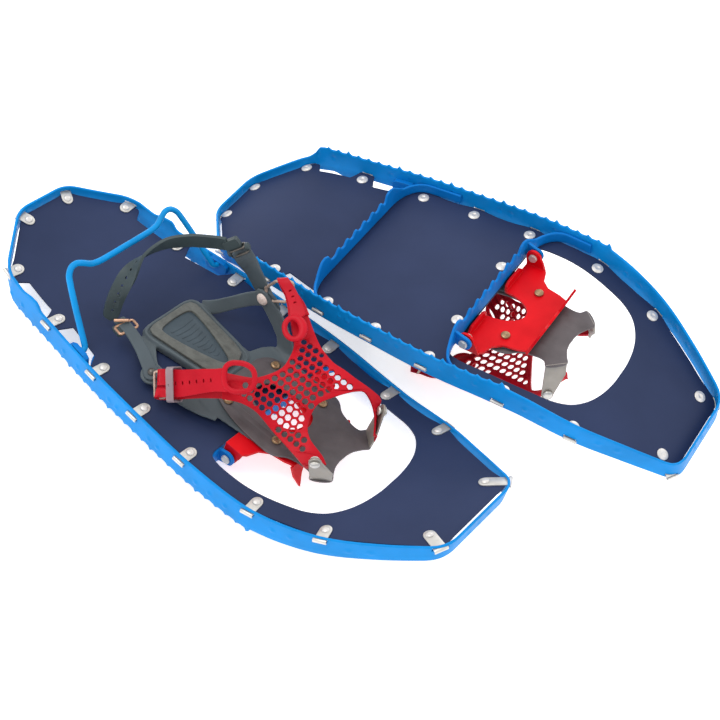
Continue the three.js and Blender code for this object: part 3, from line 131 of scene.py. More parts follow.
def material(name, slot, color, rough, metal=0.0, vary=0.06, vary_scale=40.0, bump=0.12,
             bump_scale=900.0, bump_depth=0.0002, edge=0.0, edge_highlight_color=None, rough_vary=0.08,
             spec=0.5, sheen=0.0, aniso=0.0, trans=0.0, weave=0.0, spots=0.0, glow=0.0):
    """Mottled colour, fine bump and softened edges.

    vary: strength of the mottling; bump_depth: metres; edge: how far edges are painted lighter,
    towards the edge colour, as a painted highlight; weave, spots: scale of the added bump
    pattern; vary_scale, bump_scale: noise scales.
    """
    mat = bpy.data.materials.new(name)
    mat.use_nodes = True
    tree = mat.node_tree
    link = tree.links.new
    shader = next(n for n in tree.nodes if n.type == "BSDF_PRINCIPLED")

    def node(kind, values={}, **settings):
        made = tree.nodes.new("ShaderNode" + kind)
        for key, value in settings.items():
            setattr(made, key, value)
        for key, value in values.items():
            made.inputs[key].default_value = value
        return made

    coords = node("TexCoord").outputs["Object"]
    mottle = node("TexNoise", {"Scale": vary_scale, "Detail": 5})
    link(coords, mottle.inputs["Vector"])
    ramp = node("ValToRGB")
    base = np.array(color)
    dark, light = ramp.color_ramp.elements
    dark.position, light.position = 0.3, 0.72
    dark.color = (*np.clip(base * (1 - vary * 1.6), 0, 1), 1)
    light.color = (*np.clip(base * (1 + vary * 1.3) + vary * 0.03, 0, 1), 1)
    link(mottle.outputs["Fac"], ramp.inputs["Fac"])
    tint = ramp.outputs["Color"]

    grain = node("TexNoise", {"Scale": bump_scale, "Detail": 4})
    link(coords, grain.inputs["Vector"])
    height = grain.outputs["Fac"]

    def over_grain(pattern, amount):
        total = node("Math", {1: amount}, operation="MULTIPLY_ADD")
        link(pattern, total.inputs[0])
        link(grain.outputs["Fac"], total.inputs[2])
        return total.outputs[0]

    if weave:
        threads = [node("TexWave", {"Scale": weave, "Distortion": 0.6}, bands_direction=way)
                   for way in "XY"]
        top = node("Math", operation="MAXIMUM")
        for k, thread in enumerate(threads):
            link(coords, thread.inputs["Vector"])
            link(thread.outputs["Fac"], top.inputs[k])
        height = over_grain(top.outputs[0], 0.5)
    if spots:
        cells = node("TexVoronoi", {"Scale": spots})
        link(coords, cells.inputs["Vector"])
        height = over_grain(cells.outputs["Distance"], 0.7)
    relief = node("Bump", {"Strength": bump, "Distance": bump_depth})
    link(height, relief.inputs["Height"])
    bevel = node("Bevel", {"Radius": EDGE_RADIUS}, samples=4)
    link(bevel.outputs["Normal"], relief.inputs["Normal"])
    link(relief.outputs["Normal"], shader.inputs["Normal"])

    if edge:
        # painted highlight: an edge is where the rounded normal leaves the true one, and there the
        # colour is lightened towards the edge colour
        normal = node("NewGeometry")
        agree = node("VectorMath", operation="DOT_PRODUCT")
        link(normal.outputs["Normal"], agree.inputs[0])
        link(bevel.outputs["Normal"], agree.inputs[1])
        amount = node("MapRange", {"From Min": 0.99, "From Max": 0.82, "To Min": 0.0,
                                   "To Max": edge})
        link(agree.outputs["Value"], amount.inputs["Value"])
        blend = node("Mix", data_type="RGBA")
        link(amount.outputs["Result"], blend.inputs[0])
        link(tint, blend.inputs[6])
        blend.inputs[7].default_value = (*edge_highlight_color, 1)
        tint = blend.outputs[2]
    link(tint, shader.inputs["Base Color"])
    sheen_map = node("MapRange", {"To Min": max(0.02, rough - rough_vary),
                                  "To Max": min(1, rough + rough_vary)})
    link(mottle.outputs["Fac"], sheen_map.inputs["Value"])
    link(sheen_map.outputs["Result"], shader.inputs["Roughness"])
    for key, value in (("Metallic", metal), ("Sheen Weight", sheen), ("Anisotropic", aniso),
                       ("Transmission Weight", trans), ("Specular IOR Level", spec)):
        shader.inputs[key].default_value = value
    if glow:
        shader.inputs["Emission Color"].default_value = (1, 1, 1, 1)
        shader.inputs["Emission Strength"].default_value = glow
    MATERIALS[name], SLOTS[name] = mat, slot


# settings shared by several materials
PAINT = dict(rough=0.45, vary=0.08, vary_scale=30, bump_scale=700, bump_depth=0.0003,
             edge=0.5, spec=0.12)
RIVET = dict(vary_scale=200, bump_scale=1500, bump_depth=0.0001)
PLATE = dict(vary=0.10, vary_scale=60, bump=0.2)
MOULDED = dict(vary=0.07, bump_scale=1300, edge=0.35)
WARM_METAL = dict(vary=0.12, bump_scale=1200, bump_depth=0.0001, metal=0.7)

# edge and the lighter edge colours below paint a highlight along the edges
material("rail_blue", "rail_paint", srgb(0, 132, 208), edge_highlight_color=srgb(60, 176, 238), **PAINT)
material("bar_blue", "crossbar_paint", srgb(0, 112, 192), bump=0.10,
         edge_highlight_color=srgb(60, 170, 235), **PAINT)
material("bail_blue", "bail_paint", srgb(0, 138, 208), rough=0.4, vary=0.08, vary_scale=50,
         bump=0.08, bump_scale=600, bump_depth=0.0003, spec=0.16)
material("deck_navy", "deck_sheet", srgb(36, 48, 80), rough=0.50, vary=0.10, vary_scale=9,
         bump=0.14, bump_scale=1400, bump_depth=0.00015, weave=420, edge=0.25,
         edge_highlight_color=srgb(76, 90, 128), rough_vary=0.06, spec=0.18)
material("silver", "steel", srgb(206, 203, 197), rough=0.34, metal=0.55, vary=0.05,
         vary_scale=160, bump=0.10, bump_scale=1500, bump_depth=0.0001, edge=0.3,
         edge_highlight_color=srgb(250, 248, 245), aniso=0.3)
material("rivet_white", "steel", srgb(214, 210, 206), rough=0.34, metal=0.35, **RIVET)
material("ear_steel", "dark_steel", srgb(146, 140, 132), rough=0.40, metal=0.4, edge=0.5,
         edge_highlight_color=srgb(205, 200, 192), **PLATE)
material("rivet_pale", "steel", srgb(226, 208, 198), rough=0.36, metal=0.15, vary=0.05, **RIVET)
material("link_grey", "grey_urethane", srgb(72, 82, 88), rough=0.5, vary_scale=35, bump=0.25,
         edge_highlight_color=srgb(100, 112, 116), spec=0.25, **MOULDED)
material("rivet_dark", "steel", srgb(96, 92, 88), rough=0.36, metal=0.8, vary=0.08, **RIVET)
material("crampon_red", "crampon_paint", srgb(208, 2, 18), rough=0.38, vary=0.07,
         bump_scale=700, bump_depth=0.0003, edge=0.4, edge_highlight_color=srgb(255, 90, 86), spec=0.14)
material("plate_dark", "dark_steel", srgb(90, 84, 86), rough=0.46, metal=0.25, edge=0.6,
         edge_highlight_color=srgb(140, 136, 132), spec=0.3, **PLATE)
material("urethane", "grey_urethane", srgb(80, 90, 95), rough=0.5, vary_scale=35, bump=0.25,
         edge_highlight_color=srgb(116, 128, 132), sheen=0.1, spec=0.25, **MOULDED)
material("pad_grey", "pad_rubber", srgb(94, 96, 92), rough=0.62, vary=0.14, vary_scale=130,
         bump=0.6, bump_depth=0.0005, spots=330, sheen=0.1, spec=0.25)
material("pad_recess", "pad_rubber", srgb(66, 78, 86), rough=0.6, vary=0.10, vary_scale=70,
         bump=0.3, bump_depth=0.0003, spec=0.25)
material("strap_grey", "strap_rubber", srgb(54, 66, 69), rough=0.46, vary=0.09, vary_scale=50,
         bump=0.22, bump_scale=1200, edge=0.5, edge_highlight_color=srgb(98, 112, 112), spec=0.3)
material("cradle_red", "red_urethane", srgb(182, 6, 28), rough=0.42, vary_scale=30, bump=0.2,
         edge_highlight_color=srgb(232, 60, 76), spec=0.14, **MOULDED)
material("strap_red", "red_urethane", srgb(180, 6, 30), rough=0.40, bump=0.22,
         edge_highlight_color=srgb(232, 60, 78), spec=0.16, **MOULDED)
material("bronze", "bronze", srgb(158, 128, 96), rough=0.34, vary_scale=160, bump=0.15,
         **WARM_METAL)
material("brass", "bronze", srgb(186, 146, 120), rough=0.32, vary_scale=120, **WARM_METAL)
material("tan_metal", "steel", srgb(190, 166, 150), rough=0.34, metal=0.5, vary=0.1,
         vary_scale=120, bump_scale=1200, bump_depth=0.0001)
material("keeper_clear", "clear_plastic", srgb(176, 160, 166), rough=0.30, vary=0.05,
         vary_scale=60, bump=0.08, bump_scale=600, trans=0.55)
material("floor_white", None, (0.95, 0.95, 0.95), rough=0.8, vary=0.008, vary_scale=3,
         bump=0.02, bump_scale=60, glow=0.6)


# ---------------------------------------------------------------- making objects
def add_piece(tag, name, shape, mat, body="binding", replaces=None, angle=38, bevel=None):
    """shape to object; angle: degrees for sharp edges; bevel: (width mm, least degrees)"""
    shoe = SHOES[tag]
    name = f"{tag}_{name}"
    verts, faces = shape
    world = (np.asarray(verts, float) @ shoe["turn"].T + shoe["place"]) / 1000.0
    mesh = bpy.data.meshes.new(name)
    mesh.from_pydata(world.tolist(), [], faces)
    bm = bmesh.new()
    bm.from_mesh(mesh)
    bmesh.ops.remove_doubles(bm, verts=bm.verts, dist=1e-6)
    bmesh.ops.recalc_face_normals(bm, faces=bm.faces)
    if bevel:
        width, least = bevel
        sharp = [e for e in bm.edges
                 if len(e.link_faces) == 2 and e.calc_face_angle(0) > math.radians(least)]
        bmesh.ops.bevel(bm, geom=sharp, offset=width / 1000, segments=2, profile=0.5,
                        affect="EDGES", clamp_overlap=True)
    bm.to_mesh(mesh)
    bm.free()
    mesh.update()
    for polygon in mesh.polygons:
        polygon.use_smooth = True
    mesh.set_sharp_from_angle(angle=math.radians(angle))
    ob = bpy.data.objects.new(name, mesh)
    bpy.context.scene.collection.objects.link(ob)
    mesh.materials.append(MATERIALS[mat])
    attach(ob, f"{shoe['body']}_{body}")
    if replaces:
        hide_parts(f"{tag}_{replaces}")
    return ob


def add_fused(tag, name, shapes, mat, body, voxel, smooth, replaces):
    """moulded piece: overlapping closed solids fused into one skin; voxel in mm"""
    ob = add_piece(tag, name, joined(shapes), mat, body, replaces)
    ob.parent = None
    remesh = ob.modifiers.new("remesh", "REMESH")
    remesh.mode = "VOXEL"
    remesh.voxel_size = voxel / 1000
    soften = ob.modifiers.new("soften", "SMOOTH")
    soften.factor = 0.5
    soften.iterations = smooth
    graph = bpy.context.evaluated_depsgraph_get()
    mesh = bpy.data.meshes.new_from_object(ob.evaluated_get(graph))
    ob.modifiers.clear()
    ob.data = mesh
    mesh.materials.clear()
    mesh.materials.append(MATERIALS[mat])
    for polygon in mesh.polygons:
        polygon.use_smooth = True
    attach(ob, f"{SHOES[tag]['body']}_{body}")


# ---------------------------------------------------------------- lines
def angles(count):
    return np.linspace(0, 2 * math.pi, count, endpoint=False)


def hermite(start, end, leave, arrive, t):
    return ((2 * t ** 3 - 3 * t ** 2 + 1) * start + (t ** 3 - 2 * t ** 2 + t) * leave
            + (-2 * t ** 3 + 3 * t ** 2) * end + (t ** 3 - t ** 2) * arrive)


def curve(points, count, closed=False):
    """centripetal curve through points, sampled evenly by point index"""
    points = np.asarray(points, float)
    if closed:
        spans, last = len(points), count
        padded = np.vstack([points[-1], points, points[:2]])
    else:
        spans, last = len(points) - 1, count - 1
        padded = np.vstack([2 * points[0] - points[1], points, 2 * points[-1] - points[-2]])
    out = []
    for k in range(count):
        at = k / last * spans
        i = min(int(at), spans - 1)
        before, start, end, after = padded[i:i + 4]
        gap1, gap2, gap3 = (max(norm(step) ** 0.5, 1e-4)
                            for step in (start - before, end - start, after - end))
        leave = (start - before) / gap1 - (end - before) / (gap1 + gap2) + (end - start) / gap2
        arrive = (end - start) / gap2 - (after - start) / (gap2 + gap3) + (after - end) / gap3
        out.append(hermite(start, end, leave * gap2, arrive * gap2, at - i))
    return np.array(out)


def tangents(line, closed=False):
    way = np.roll(line, -1, 0) - np.roll(line, 1, 0) if closed else np.gradient(line, axis=0)
    return way / norm(way, axis=1)[:, None]


def interp_rows(at, stations, rows):
    return np.stack([np.interp(at, stations, column) for column in np.asarray(rows, float).T],
                    -1)


def lengths_along(line):
    return np.r_[0, np.cumsum(norm(np.diff(line, axis=0), axis=1))]


def resample(line, step):
    run = lengths_along(line)
    count = max(2, int(round(run[-1] / step)) + 1)
    return interp_rows(np.linspace(0, run[-1], count), run, line)


def resample_ring(ring, step):
    return resample(np.vstack([ring, ring[:1]]), step)[:-1]


def thinned(points, gap):
    """drop points closer than gap to the last one kept"""
    kept = [points[0]]
    for point in points[1:]:
        if norm(point - kept[-1]) > gap:
            kept.append(point)
    return np.array(kept)


def mirrored(half, part=slice(None)):
    """plan outline from its +Y half; part picks which of the mirrored points are added"""
    return [tuple(p) for p in half] + [(x, -y) for x, y in half[::-1]][part]


def rounded_rect(centre, along, across, length, width, radius):
    points = []
    for sx, sy, quarter in ((1, 1, 0), (-1, 1, 1), (-1, -1, 2), (1, -1, 3)):
        cx, cy = sx * (length / 2 - radius), sy * (width / 2 - radius)
        for k in range(7):
            a = (quarter + k / 6) * math.pi / 2
            points.append(centre + along * (cx + radius * math.cos(a))
                          + across * (cy + radius * math.sin(a)))
    return resample_ring(np.array(points), 0.9)


def ellipse(x, y, rx, ry, count):
    return [(x + rx * math.cos(a), y + ry * math.sin(a)) for a in -angles(count)]


# ---------------------------------------------------------------- shapes
def joined(shapes):
    verts, faces = [], []
    for more_verts, more_faces in shapes:
        start = len(verts)
        verts += list(more_verts)
        faces += [tuple(i + start for i in face) for face in more_faces]
    return verts, faces


def grid_faces(rows, columns, closed=False):
    """quads between rows of vertices; every row is a ring, closed joins last row to first"""
    faces = []
    for i in range(rows if closed else rows - 1):
        a, b = i * columns, (i + 1) % rows * columns
        for j in range(columns):
            k = (j + 1) % columns
            faces.append((a + j, b + j, b + k, a + k))
    return faces


def square_axes(axis):
    """two unit vectors square to axis and to each other"""
    helper = vec(1, 0, 0) if abs(axis[0]) < 0.8 else vec(0, 1, 0)
    side = unit(np.cross(helper, axis))
    return side, np.cross(axis, side)


def lathe(profile, origin, axis, segments):
    """turned piece; profile is (radius, height along axis), starting and ending on the axis"""
    axis = unit(axis)
    side, up = square_axes(axis)
    verts, faces, rings = [], [], []
    for radius, height in profile:
        start = len(verts)
        if radius < 1e-6:
            verts.append(origin + axis * height)
        else:
            verts += [origin + axis * height + (side * math.cos(a) + up * math.sin(a)) * radius
                      for a in angles(segments)]
        rings.append(range(start, len(verts)))
    for low, high in zip(rings[:-1], rings[1:]):
        for i in range(segments):
            j = (i + 1) % segments
            if len(low) == 1:
                faces.append((low[0], high[i], high[j]))
            elif len(high) == 1:
                faces.append((low[i], high[0], low[j]))
            else:
                faces.append((low[i], high[i], high[j], low[j]))
    return verts, faces


def disc(centre, axis, radius, half_thick, segments):
    """round plate with a ridged rim"""
    flat = radius - 0.6
    return lathe([(0, -half_thick), (flat, -half_thick), (radius, 0), (flat, half_thick),
                  (0, half_thick)], centre, axis, segments)


def tube(line, radius, segments, closed=False):
    """round rod along a line; radius is one value or one per point"""
    line = np.asarray(line, float)
    count = len(line)
    way = tangents(line, closed)
    radii = np.broadcast_to(radius, count)
    side = square_axes(way[0])[0]
    verts, faces = [], []
    for point, along, r in zip(line, way, radii):
        side = square_to(side, along)
        up = np.cross(along, side)
        verts += [point + (side * math.cos(a) + up * math.sin(a)) * r for a in angles(segments)]
    for i in range(count if closed else count - 1):
        j = (i + 1) % count
        turn = 0
        if closed and j == 0:  # match the twist left over
            turn = int(np.argmin([norm(verts[i * segments] - verts[k])
                                  for k in range(segments)]))
        a, b = i * segments, j * segments
        for k in range(segments):
            faces.append((a + k, b + (k + turn) % segments, b + (k + 1 + turn) % segments,
                          a + (k + 1) % segments))
    if not closed:
        for i, sign in ((0, 1), (count - 1, -1)):
            tip = len(verts)
            verts.append(line[i] - way[i] * sign * radii[i] * 0.35)
            ring = i * segments
            faces += [(tip, ring + (k + 1) % segments, ring + k) for k in range(segments)]
    return verts, faces


def fill(outline, holes=(), cuts_x=(), cuts_y=()):
    """outline with holes to a sheet of flat faces, cut along the given x and y lines"""
    loops = [[Vector((p[0], p[1], 0)) for p in loop] for loop in (outline, *holes)]
    points = [p for loop in loops for p in loop]
    bm = bmesh.new()
    verts = [bm.verts.new(p) for p in points]
    for triangle in tessellate_polygon(loops):
        a, b, c = (points[i] for i in triangle)
        if abs((b - a).cross(c - a).z) < 1e-7:
            continue
        # the tessellation can give a triangle twice
        try:
            bm.faces.new([verts[i] for i in triangle])
        except ValueError:
            pass
    bmesh.ops.remove_doubles(bm, verts=bm.verts, dist=1e-4)
    for place, normal in ([((x, 0, 0), (1, 0, 0)) for x in cuts_x]
                          + [((0, y, 0), (0, 1, 0)) for y in cuts_y]):
        bmesh.ops.bisect_plane(bm, geom=bm.verts[:] + bm.edges[:] + bm.faces[:],
                               plane_co=place, plane_no=normal, dist=1e-4)
    for vert in [v for v in bm.verts if not v.link_faces]:
        bm.verts.remove(vert)
    bm.normal_update()
    for face in bm.faces:
        if face.normal.z < 0:
            face.normal_flip()
    bm.verts.index_update()
    sheet = ([(v.co.x, v.co.y) for v in bm.verts],
             [tuple(v.index for v in face.verts) for face in bm.faces])
    bm.free()
    return sheet


def plane(origin, along, across, up):
    """placing function for solid(): the sheet lies on a tilted plane"""
    return lambda a, b, h: origin + along * a + across * b + up * h


def solid(sheet, place, low, high):
    """sheet to a solid between two heights; place(a, b, height) gives the point in space"""
    points, flats = sheet
    count = len(points)
    verts = [place(*p, high) for p in points] + [place(*p, low) for p in points]
    faces = list(flats) + [tuple(count + i for i in reversed(face)) for face in flats]
    border = {}
    for face in flats:
        for a, b in zip(face, face[1:] + face[:1]):
            if (b, a) in border:
                del border[(b, a)]
            else:
                border[(a, b)] = 1
    return verts, faces + [(b, a, count + a, count + b) for a, b in border]


def block(centre, along, across, length, width, thick):
    outline = rounded_rect(vec(0, 0, 0), vec(1, 0, 0), vec(0, 1, 0), length, width, 1.8)
    return solid(fill(outline), plane(centre, along, across, np.cross(along, across)),
                 -thick / 2, thick / 2)


def wall(path, top, bottom, thick, rows, closed=False, base=lambda x: 0.0, slots=(),
         dimples=()):
    """Upright bar along a plan path, with rounded top and bottom edges.

    top(x), bottom(point), base(x): heights; rows: vertex rows above base; slots: (x, y, half
    length) of openings from SLOT_LOW to SLOT_HIGH; dimples: (x, y, z, radius, depth).
    """
    path = np.asarray(path, float)
    count = len(path)
    way = tangents(path, closed)
    out = np.stack([way[:, 1], -way[:, 0]], 1)
    z_top = np.array([top(p[0]) for p in path])
    z_low = np.array([bottom(p) for p in path])
    level = np.array([base(p[0]) for p in path])
    body = [np.clip(level + row, z_low + 1.1, z_top - 1.1) for row in rows]
    for k in range(1, len(body)):
        body[k] = np.maximum(body[k], body[k - 1] + 0.02)
    # height and share of the thickness of every row
    courses = [(z_low, 0.45), (z_low + 0.3, 0.84), (z_low + 0.8, 1.0)]
    courses += [(z, 1.0) for z in body]
    courses += [(np.maximum(z_top - 0.8, body[-1] + 0.02), 1.0),
                (np.maximum(z_top - 0.28, body[-1] + 0.04), 0.84),
                (np.maximum(z_top, body[-1] + 0.06), 0.5)]
    height = len(courses)
    skins = np.zeros((2, count, height, 3))
    for j, (z, share) in enumerate(courses):
        bulge = np.zeros(count)
        for dx, dy, dz, radius, depth in dimples:
            off = ((path[:, 0] - dx) ** 2 + (path[:, 1] - dy) ** 2 + (z - dz) ** 2) / radius ** 2
            bulge += depth * np.clip(1 - off, 0, 1) ** 1.5
        for skin, sign in zip(skins, (1, -1)):
            skin[:, j, :2] = path + out * (sign * thick / 2 * share + bulge)[:, None]
            skin[:, j, 2] = z

    middles = (path + np.roll(path, -1, 0)) / 2
    opened = set()
    for x, y, half in slots:
        away = np.hypot(middles[:, 0] - x, middles[:, 1] - y)
        opened |= set(np.nonzero(away < half)[0].tolist())
    if opened:
        slot_low, slot_high = 3 + rows.index(SLOT_LOW), 3 + rows.index(SLOT_HIGH)
    inner = count * height
    faces = []

    def across(station, j):
        """face through the thickness between rows j and j + 1"""
        a = station * height + j
        faces.append((a, a + 1, inner + a + 1, inner + a))

    for i in range(count if closed else count - 1):
        a, b = i * height, (i + 1) % count * height
        for j in range(height - 1):
            if i in opened and slot_low <= j < slot_high:
                continue
            faces.append((a + j, b + j, b + j + 1, a + j + 1))
            faces.append((inner + a + j, inner + a + j + 1, inner + b + j + 1, inner + b + j))
        crown = height - 1
        faces.append((a + crown, b + crown, inner + b + crown, inner + a + crown))
        faces.append((a, inner + a, inner + b, b))
        if i in opened:
            for j in (slot_low, slot_high):
                faces.append((a + j, b + j, inner + b + j, inner + a + j))
            for station, beside in ((i, i - 1), ((i + 1) % count, i + 1)):
                if beside % count not in opened:
                    for j in range(slot_low, slot_high):
                        across(station, j)
    if not closed:
        for station in (0, count - 1):
            for j in range(height - 1):
                across(station, j)
    return skins.reshape(-1, 3), faces


def strap_frame(path, across):
    """place(run, sideways, height) along a strap, its length, and the run at each path point"""
    path = np.asarray(path, float)
    count = len(path)
    fine = curve(path, 60 * count)
    fine_run = lengths_along(fine)
    sides = interp_rows(np.linspace(0, count - 1, len(fine)), range(count), across)
    run = np.linspace(0, fine_run[-1], max(8, int(fine_run[-1])))
    line = interp_rows(run, fine_run, fine)
    sides = interp_rows(run, fine_run, sides)
    way = tangents(line)

    def squared(rows):
        rows = rows - way * (rows * way).sum(1)[:, None]
        return rows / norm(rows, axis=1)[:, None]

    sides = squared(sides)
    for _ in range(4):
        sides[1:-1] = (sides[:-2] + 2 * sides[1:-1] + sides[2:]) / 4
    sides = squared(sides)
    table = np.hstack([line, sides, np.cross(way, sides)])
    knots = np.interp(np.arange(count) / (count - 1) * (len(fine) - 1), range(len(fine)),
                      fine_run)

    def place(at, sideways, height):
        row = interp_rows(at, run, table)
        return row[:3] + row[3:6] * sideways + row[6:] * height

    return place, run[-1], knots


def band(path, across, width, thick, holes=None, end_round=0.0, step=4):
    """Soft band bent along a path; returns its shape, placing function and length.

    width is per path point; holes(length, knots) gives outlines; end_round: radius at the end.
    """
    place, length, knots = strap_frame(path, across)
    edge = []
    count = int(length / 2.0)
    for k in range(count + 1):
        at = length * k / count
        full = half = float(np.interp(at, knots, width)) / 2
        left = length - at
        if left < end_round:
            corner = math.sqrt(max(0.0, end_round ** 2 - (end_round - left) ** 2))
            half = min(half, full - end_round + corner)
        edge.append((at, max(half, 0.5)))
    outline = [(at, -half) for at, half in edge] + edge[::-1]
    sheet = fill(outline, holes(length, knots) if holes else (),
                 cuts_x=np.arange(step, length - 0.3, step), cuts_y=(0.0,))
    return solid(sheet, place, -thick / 2, thick / 2), place, length


def upward_normal(along, across):
    normal = unit(np.cross(along, across))
    return -normal if normal[2] < 0 else normal


def flattened(shape, centre, normal):
    """shape pressed to 65 % of its height along normal"""
    verts, faces = shape
    return [p - normal * (p - centre).dot(normal) * 0.35 for p in verts], faces


# ---------------------------------------------------------------- the rail's plan
# (x, y) of the left side from tail to nose
RAIL_SIDE = np.array([
    (34.5, 79.2), (68, 84.0), (102.1, 88.2), (171.2, 97.0), (228.1, 101.3), (289.4, 104.6),
    (340, 103.6), (380, 99.6), (433, 88.8), (478, 69.8), (521.5, 47.2)])
RAIL_TAIL = (-8.8, 29.0)
RAIL_THICK, BAR_THICK, BAR_GAP = 2.4, 2.6, 0.35
RAIL_RISE = 7  # the rail's top above the deck
SLOT_LOW, SLOT_HIGH = -1.7, 2.7  # height of the clip slots about the deck
RAIL_ROWS = [-15.0, -13.6, -12.2, -10.8, -9.4, -8.0, -6.6, -5.2, -3.6, SLOT_LOW, SLOT_HIGH, 4.4]
TEETH_START, TEETH_PITCH = 56, 11.6
STATION_PITCH = TEETH_PITCH / 10  # so that the tips fall on stations


def rail_side_points(count):
    last = len(RAIL_SIDE) - 1
    out = []
    for k in range(count + 1):
        at = last * k / count
        i = int(at)
        before, start, end, after = (RAIL_SIDE[min(max(j, 0), last)] for j in range(i - 1, i + 3))
        out.append(hermite(start, end, (end - before) / 2, (after - start) / 2, at - i))
    return np.array(out)


def rail_loop():
    spans = 90
    half = np.vstack([[RAIL_TAIL], rail_side_points(spans)])
    radii = [12, 16] + [0] * (spans - 1) + [16]
    loop = np.vstack([half * [1, -1], half[::-1]])
    radii += radii[::-1]
    out = []
    for i, (point, radius) in enumerate(zip(loop, radii)):
        if not radius:
            out.append(point)
            continue
        ends = []
        for step in (loop[i - 1] - point, loop[(i + 1) % len(loop)] - point):
            room = norm(step) * 0.45 if norm(step) > 12 else 13.0
            ends.append(point + unit(step) * min(radius, room))
        for t in np.linspace(0, 1, 11):
            out.append(ends[0] * (1 - t) ** 2 + 2 * point * t * (1 - t) + ends[1] * t * t)
    out = thinned(out, 0.4)
    for _ in range(3):  # drop points where the line doubles back at a rounded corner
        ahead = np.roll(out, -1, 0) - out
        out = out[[np.dot(unit(a), unit(b)) > 0.2 for a, b in zip(np.roll(ahead, 1, 0), ahead)]]
    return out


LOOP = rail_loop()  # tail to nose on the right, back on the left
LOOP_NEXT = np.roll(LOOP, -1, 0)


def rail_y(x):
    """y of the left side at x"""
    meets = ((LOOP[:, 1] > 0) & (LOOP_NEXT[:, 1] > 0) & (LOOP[:, 0] != LOOP_NEXT[:, 0])
             & ((LOOP[:, 0] - x) * (LOOP_NEXT[:, 0] - x) <= 0))
    a, b = LOOP[meets].T, LOOP_NEXT[meets].T
    return float(np.max(a[1] + (b[1] - a[1]) * (x - a[0]) / (b[0] - a[0]), initial=0))


def distance_to_rail(start, way):
    side = LOOP_NEXT - LOOP
    cross = way[0] * side[:, 1] - way[1] * side[:, 0]
    meets = abs(cross) >= 1e-9
    away, side, cross = (LOOP - start)[meets], side[meets], cross[meets]
    reach = (away[:, 0] * side[:, 1] - away[:, 1] * side[:, 0]) / cross
    share = (away[:, 0] * way[1] - away[:, 1] * way[0]) / cross
    return reach[(reach > 0) & (0 <= share) & (share <= 1)].min()


# Clip rivets on the left: x, y, plan direction of the clip (None: square to the rail)
CLIP_PLACES = [
    (0, 24.2, (-0.9, 0.42)), (36.5, 68.1, (-0.12, 1.0)), (102.1, 76.0, None),
    (171.2, 84.9, None), (228.1, 89.2, None), (289.4, 92.7, None), (365.2, 89.4, None),
    (430.2, 78.4, None), (501.5, 39.4, (0.86, 0.51))]


def make_clip(x, y, way, side):
    dx, dy = way or ((rail_y(x - 2) - rail_y(x + 2)) / 4, 1.0)
    way = unit((dx, dy * side))
    reach = distance_to_rail((x, y * side), way)
    slope = deck_z(x + 0.5) - deck_z(x - 0.5)
    out = unit((way[0], way[1], slope * way[0]))
    across = unit(np.cross(unit((-slope, 0, 1)), out))
    return dict(centre=vec(x, y * side, deck_z(x)), out=out, across=across,
                up=np.cross(out, across), hit=vec(x, y * side) + way * reach,
                reach=reach * math.hypot(way[0] * math.hypot(1, slope), way[1]))


CLIPS = [make_clip(x, y, way, side) for x, y, way in CLIP_PLACES for side in (1, -1)]


def rail_stations():
    out = []
    for start, end in zip(LOOP, LOOP_NEXT):
        low, high = sorted((start[0], end[0]))
        if high > 40 and low < 400 and abs(start[1]) > 70:
            first = math.ceil((low - TEETH_START) / STATION_PITCH)
            last = math.floor((high - TEETH_START) / STATION_PITCH)
            shares = sorted((TEETH_START + STATION_PITCH * k - start[0]) / (end[0] - start[0])
                            for k in range(first, last + 1))
            shares = [t for t in shares if 0 < t < 1]
        else:
            count = max(1, int(norm(end - start) / 1.4))
            shares = [k / count for k in range(count)]
        out += [start + (end - start) * t for t in shares]
    return thinned(out, 0.35)


# ---------------------------------------------------------------- rail and crossbars
HUMP_X = [46, 54, 64, 74, 83, 86, 89, 93]
HUMP_Z = [deck_z(46) + RAIL_RISE, 9.0, 10.2, 13.4, 14.2, 12.2, 8.4, deck_z(93) + RAIL_RISE]
TAIL_DROP = 11  # the rail's bottom below the deck, behind the teeth
TAIL_LOW_X = [34, 40, 46, 52, 56]
TAIL_LOW_Z = [deck_z(34) - TAIL_DROP, -8.0, -17.5, -19.0, -19.2]
DIMPLE_X = (44, 62, 128, 150, 196, 206, 250, 262, 310, 326, 344, 392, 408, 456, 472)


def rail_top(x):
    share = min(1.0, max(0.0, (x - 330) / 60))
    z = deck_z(x) + RAIL_RISE - 3.4 * share * share * (3 - 2 * share)
    if HUMP_X[0] < x < HUMP_X[-1]:
        return max(z, float(np.interp(x, HUMP_X, HUMP_Z)))
    return z


def rail_bottom(point):
    x = point[0]
    if x < TAIL_LOW_X[0]:
        return deck_z(x) - TAIL_DROP
    if x < TEETH_START:
        return float(np.interp(x, TAIL_LOW_X, TAIL_LOW_Z))
    if x > 372:
        return deck_z(x) - 22.0 + min(6.0, max(0.0, (x - 396) * 0.05))
    k = int((x - TEETH_START + 0.3) // TEETH_PITCH)
    share = (x - TEETH_START - k * TEETH_PITCH) / TEETH_PITCH
    tip, next_tip = (-22.8 if i % 5 == 2 else -21.2 for i in (k, k + 1))  # one in five is longer
    if share < 0.05:
        return tip
    if share < 0.42:
        return tip + (-18.5 - tip) * min(1, (share - 0.05) / 0.30) ** 0.6
    if share < 0.80:
        return -18.5 - 0.5 * (share - 0.42) / 0.38
    return -19.0 + (next_tip + 19.0) * (share - 0.80) / 0.20


